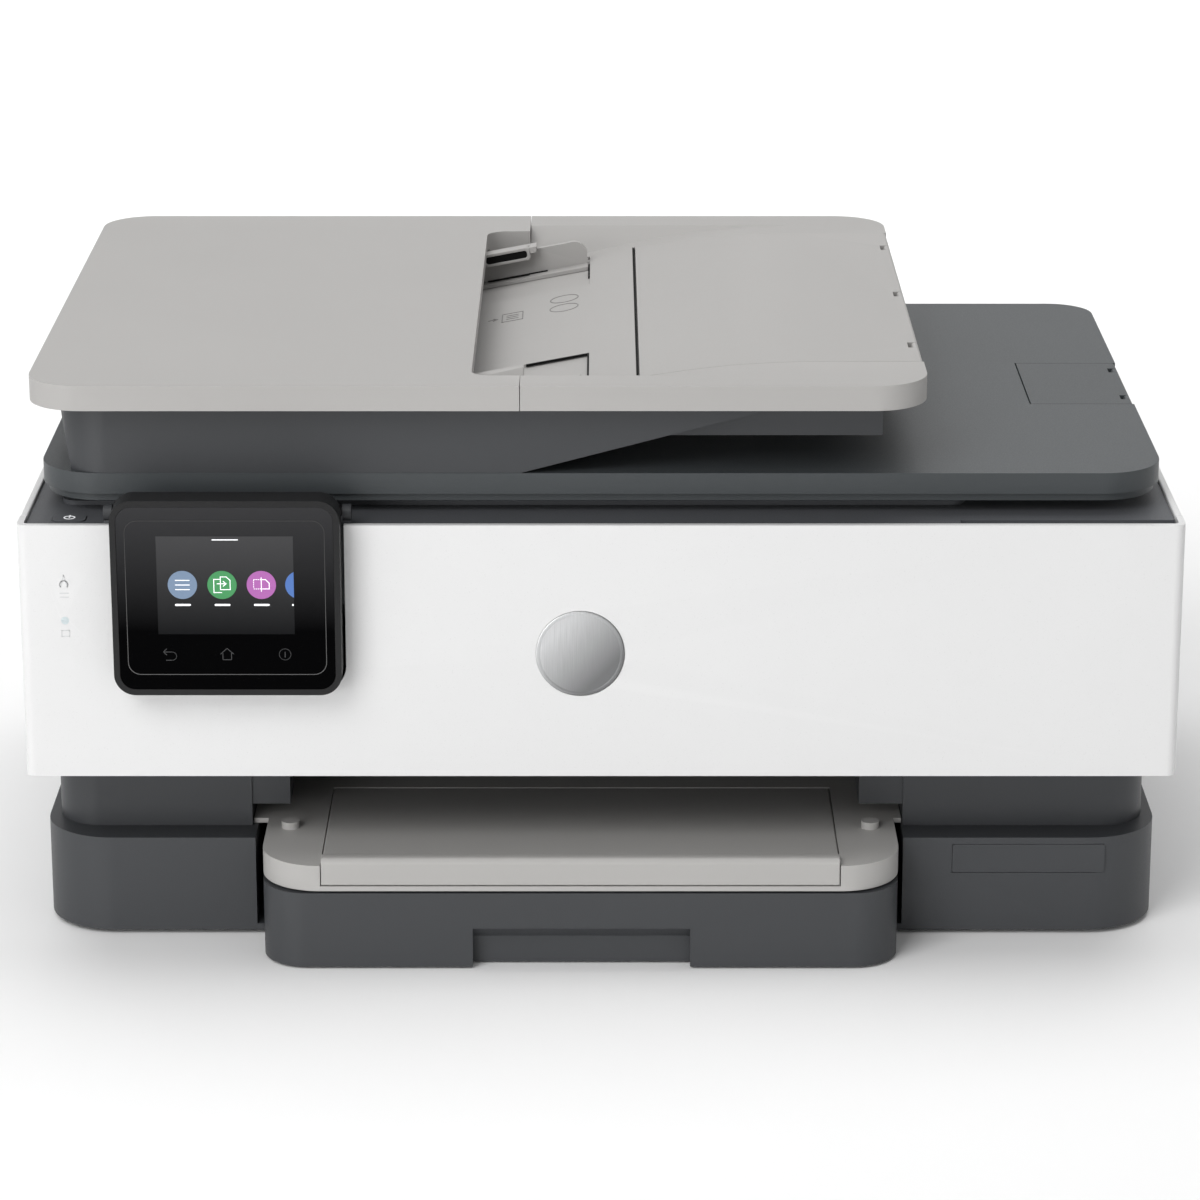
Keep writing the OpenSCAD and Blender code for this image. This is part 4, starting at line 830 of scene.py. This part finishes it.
# the cross recess in each screw head is drawn as two dark strokes, painted shade
CROSS_REACH, CROSS_PEN = 1.05, 0.5
screws, crosses = Build("rear_screws"), Build("screw_recess_shade")
for x, z in SCREWS:
    screws.lathe(SCREW_PROFILE, (x, SCREW_BACK, z), (0, 1, 0), (1, 0, 0), 32)
    for turn in (35, 125):
        a, b = (CROSS_REACH * v for v in turned(turn))
        crosses.stroke(back_at(SCREW_BACK), [(-x - a, z - b), (-x + a, z + b)], CROSS_PEN, 1.55, 1.67)
screws.done("printer", "bright_steel", LOOKS["dark_screw"])
crosses.done("printer", "panel_black", LOOKS["painted_shade_black"])

# ---- ink carriage and scan bar ----

ink_front = front_at(box_mm("black_cartridge")[0].y)
# left and right side of each bay of the carriage, and the slot of its ink
BAYS = {
    "black": (102, 130, "ink_black"), "cyan": (132, 154, "ink_colours"),
    "magenta": (156, 178, "ink_colours"), "yellow": (180, 202, "ink_colours"),
}
for ink, (x0, x1, slot) in BAYS.items():
    middle = (x0 + x1) / 2
    label = Build(f"ink_label_{ink}")
    label.prism(round_rect(x0 + 3.4, x1 - 3.4, 101, 114.5, 0.8, 4), ink_front, -0.05, 0.12)
    label.done("carriage", slot, LOOKS["label_white"])
    dot = Build(f"ink_dot_{ink}")
    dot.prism(disc(middle, 109.6, 2.9, 32), ink_front, 0.1, 0.2)
    for k, half in enumerate((6.2, 5.0, 6.2)):
        z = 102.4 + k * 1.3
        dot.prism(round_rect(middle - half, middle + half, z, z + 0.5, 0.2, 2), ink_front, 0.1, 0.16)
    dot.done("carriage", slot, LOOKS[slot])

STRIP_END = 214.5
strip = Build("encoder_strip")
strip.prism([(-STRIP_END, 119), (STRIP_END, 119), (STRIP_END, 126), (-STRIP_END, 126)],
            front_at(57.0), -0.1, 0.1)
strip.done("printer", "clear_glass", LOOKS["encoder_film"])

lens = Build("scan_lens")
lens.prism(round_rect(-199.7, -196.3, -101.6, 107.6, 0.4, 3), top_at(171.7), 0.0, 1.3)
lens.done("scan_bar", "clear_glass", LOOKS["clear_glass"], 0.3)

# ---- corner mark of the scanning glass ----

deck = top_at(180.3)
corner = Build("glass_corner_mark")
corner.stroke(deck, [(-192.5, 118.0), (-192.5, 122.5), (-186.5, 122.5)], 0.5, 0, 0.06)
corner.prism([(-192.9, 121.0), (-189.0, 121.0), (-192.9, 117.0)], deck, 0.06, 0.1)
corner.done("printer", "white_shell", LOOKS["printed_white"])

# ---- stage, in metres ----

# the floor runs back to FLOOR_BACK, and curves up with radius BEND into a wall of height WALL
REACH, FLOOR_BACK, BEND, WALL = 6.0, 3.0, 1.2, 4.0
BEND_STEPS = 12
floor_line = [(-REACH, 0.0)]
for i in range(BEND_STEPS + 1):
    c, s = turned(90 * i / BEND_STEPS)
    floor_line.append((FLOOR_BACK + s * BEND, BEND - c * BEND))
floor_line.append((FLOOR_BACK + BEND, WALL))
floor_mesh = bpy.data.meshes.new("floor")
fb = bmesh.new()
rows = [[fb.verts.new((x, y, z)) for x in (-REACH, REACH)] for y, z in floor_line]
for low, high in zip(rows, rows[1:]):
    fb.faces.new((low[0], low[1], high[1], high[0]))
fb.to_mesh(floor_mesh)
fb.free()
for face in floor_mesh.polygons:
    face.use_smooth = True
floor = bpy.data.objects.new("floor", floor_mesh)
bpy.context.scene.collection.objects.link(floor)
floor_mesh.materials.append(LOOKS["floor_paper"])
floor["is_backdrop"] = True


def lamp(name, place, target, size, power):
    """A soft rectangular light at place, facing target, with its power in watts."""
    data = bpy.data.lights.new(name, "AREA")
    data.shape, data.size, data.size_y = "RECTANGLE", size[0], size[1]
    data.energy = power
    ob = bpy.data.objects.new(name, data)
    bpy.context.scene.collection.objects.link(ob)
    ob.location = place
    ob.rotation_mode = "QUATERNION"
    ob.rotation_quaternion = (Vector(target) - Vector(place)).to_track_quat("-Z", "Y")


PRINTER_MIDDLE = (0, 0, 0.12)
lamp("key", (-1.15, -1.9, 1.9), PRINTER_MIDDLE, (1.5, 1.5), 35)
lamp("front", (-1.35, -2.2, 0.42), PRINTER_MIDDLE, (1.6, 0.7), 17)
lamp("fill", (1.9, -1.5, 1.1), PRINTER_MIDDLE, (1.5, 1.5), 1.5)
lamp("top", (0, 0.6, 2.3), PRINTER_MIDDLE, (2.4, 1.6), 28)
lamp("backdrop", (0, 1.3, 1.9), (0, 3.4, 0.5), (3.0, 1.5), 34)

world = bpy.data.worlds.new("soft_grey")
bpy.context.scene.world = world
world.use_nodes = True
sky = world.node_tree.nodes["Background"]
sky.inputs["Color"].default_value = (1, 1, 1, 1)
sky.inputs["Strength"].default_value = 0.4

bpy.context.scene.view_settings.view_transform = "Standard"

# ---- camera ----

# how far the camera looks down, in degrees
LOOK_DOWN = 17.32
camera_data = bpy.data.cameras.new("camera")
camera_data.lens = 128.7
camera_data.sensor_width = 36.0
camera_data.clip_start, camera_data.clip_end = 0.05, 50
camera = bpy.data.objects.new("camera", camera_data)
bpy.context.scene.collection.objects.link(camera)
camera.location = (-0.0005, -1.769, 0.6535)
camera.rotation_euler = (math.radians(90 - LOOK_DOWN), 0, 0)
bpy.context.scene.camera = camera

low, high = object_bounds()
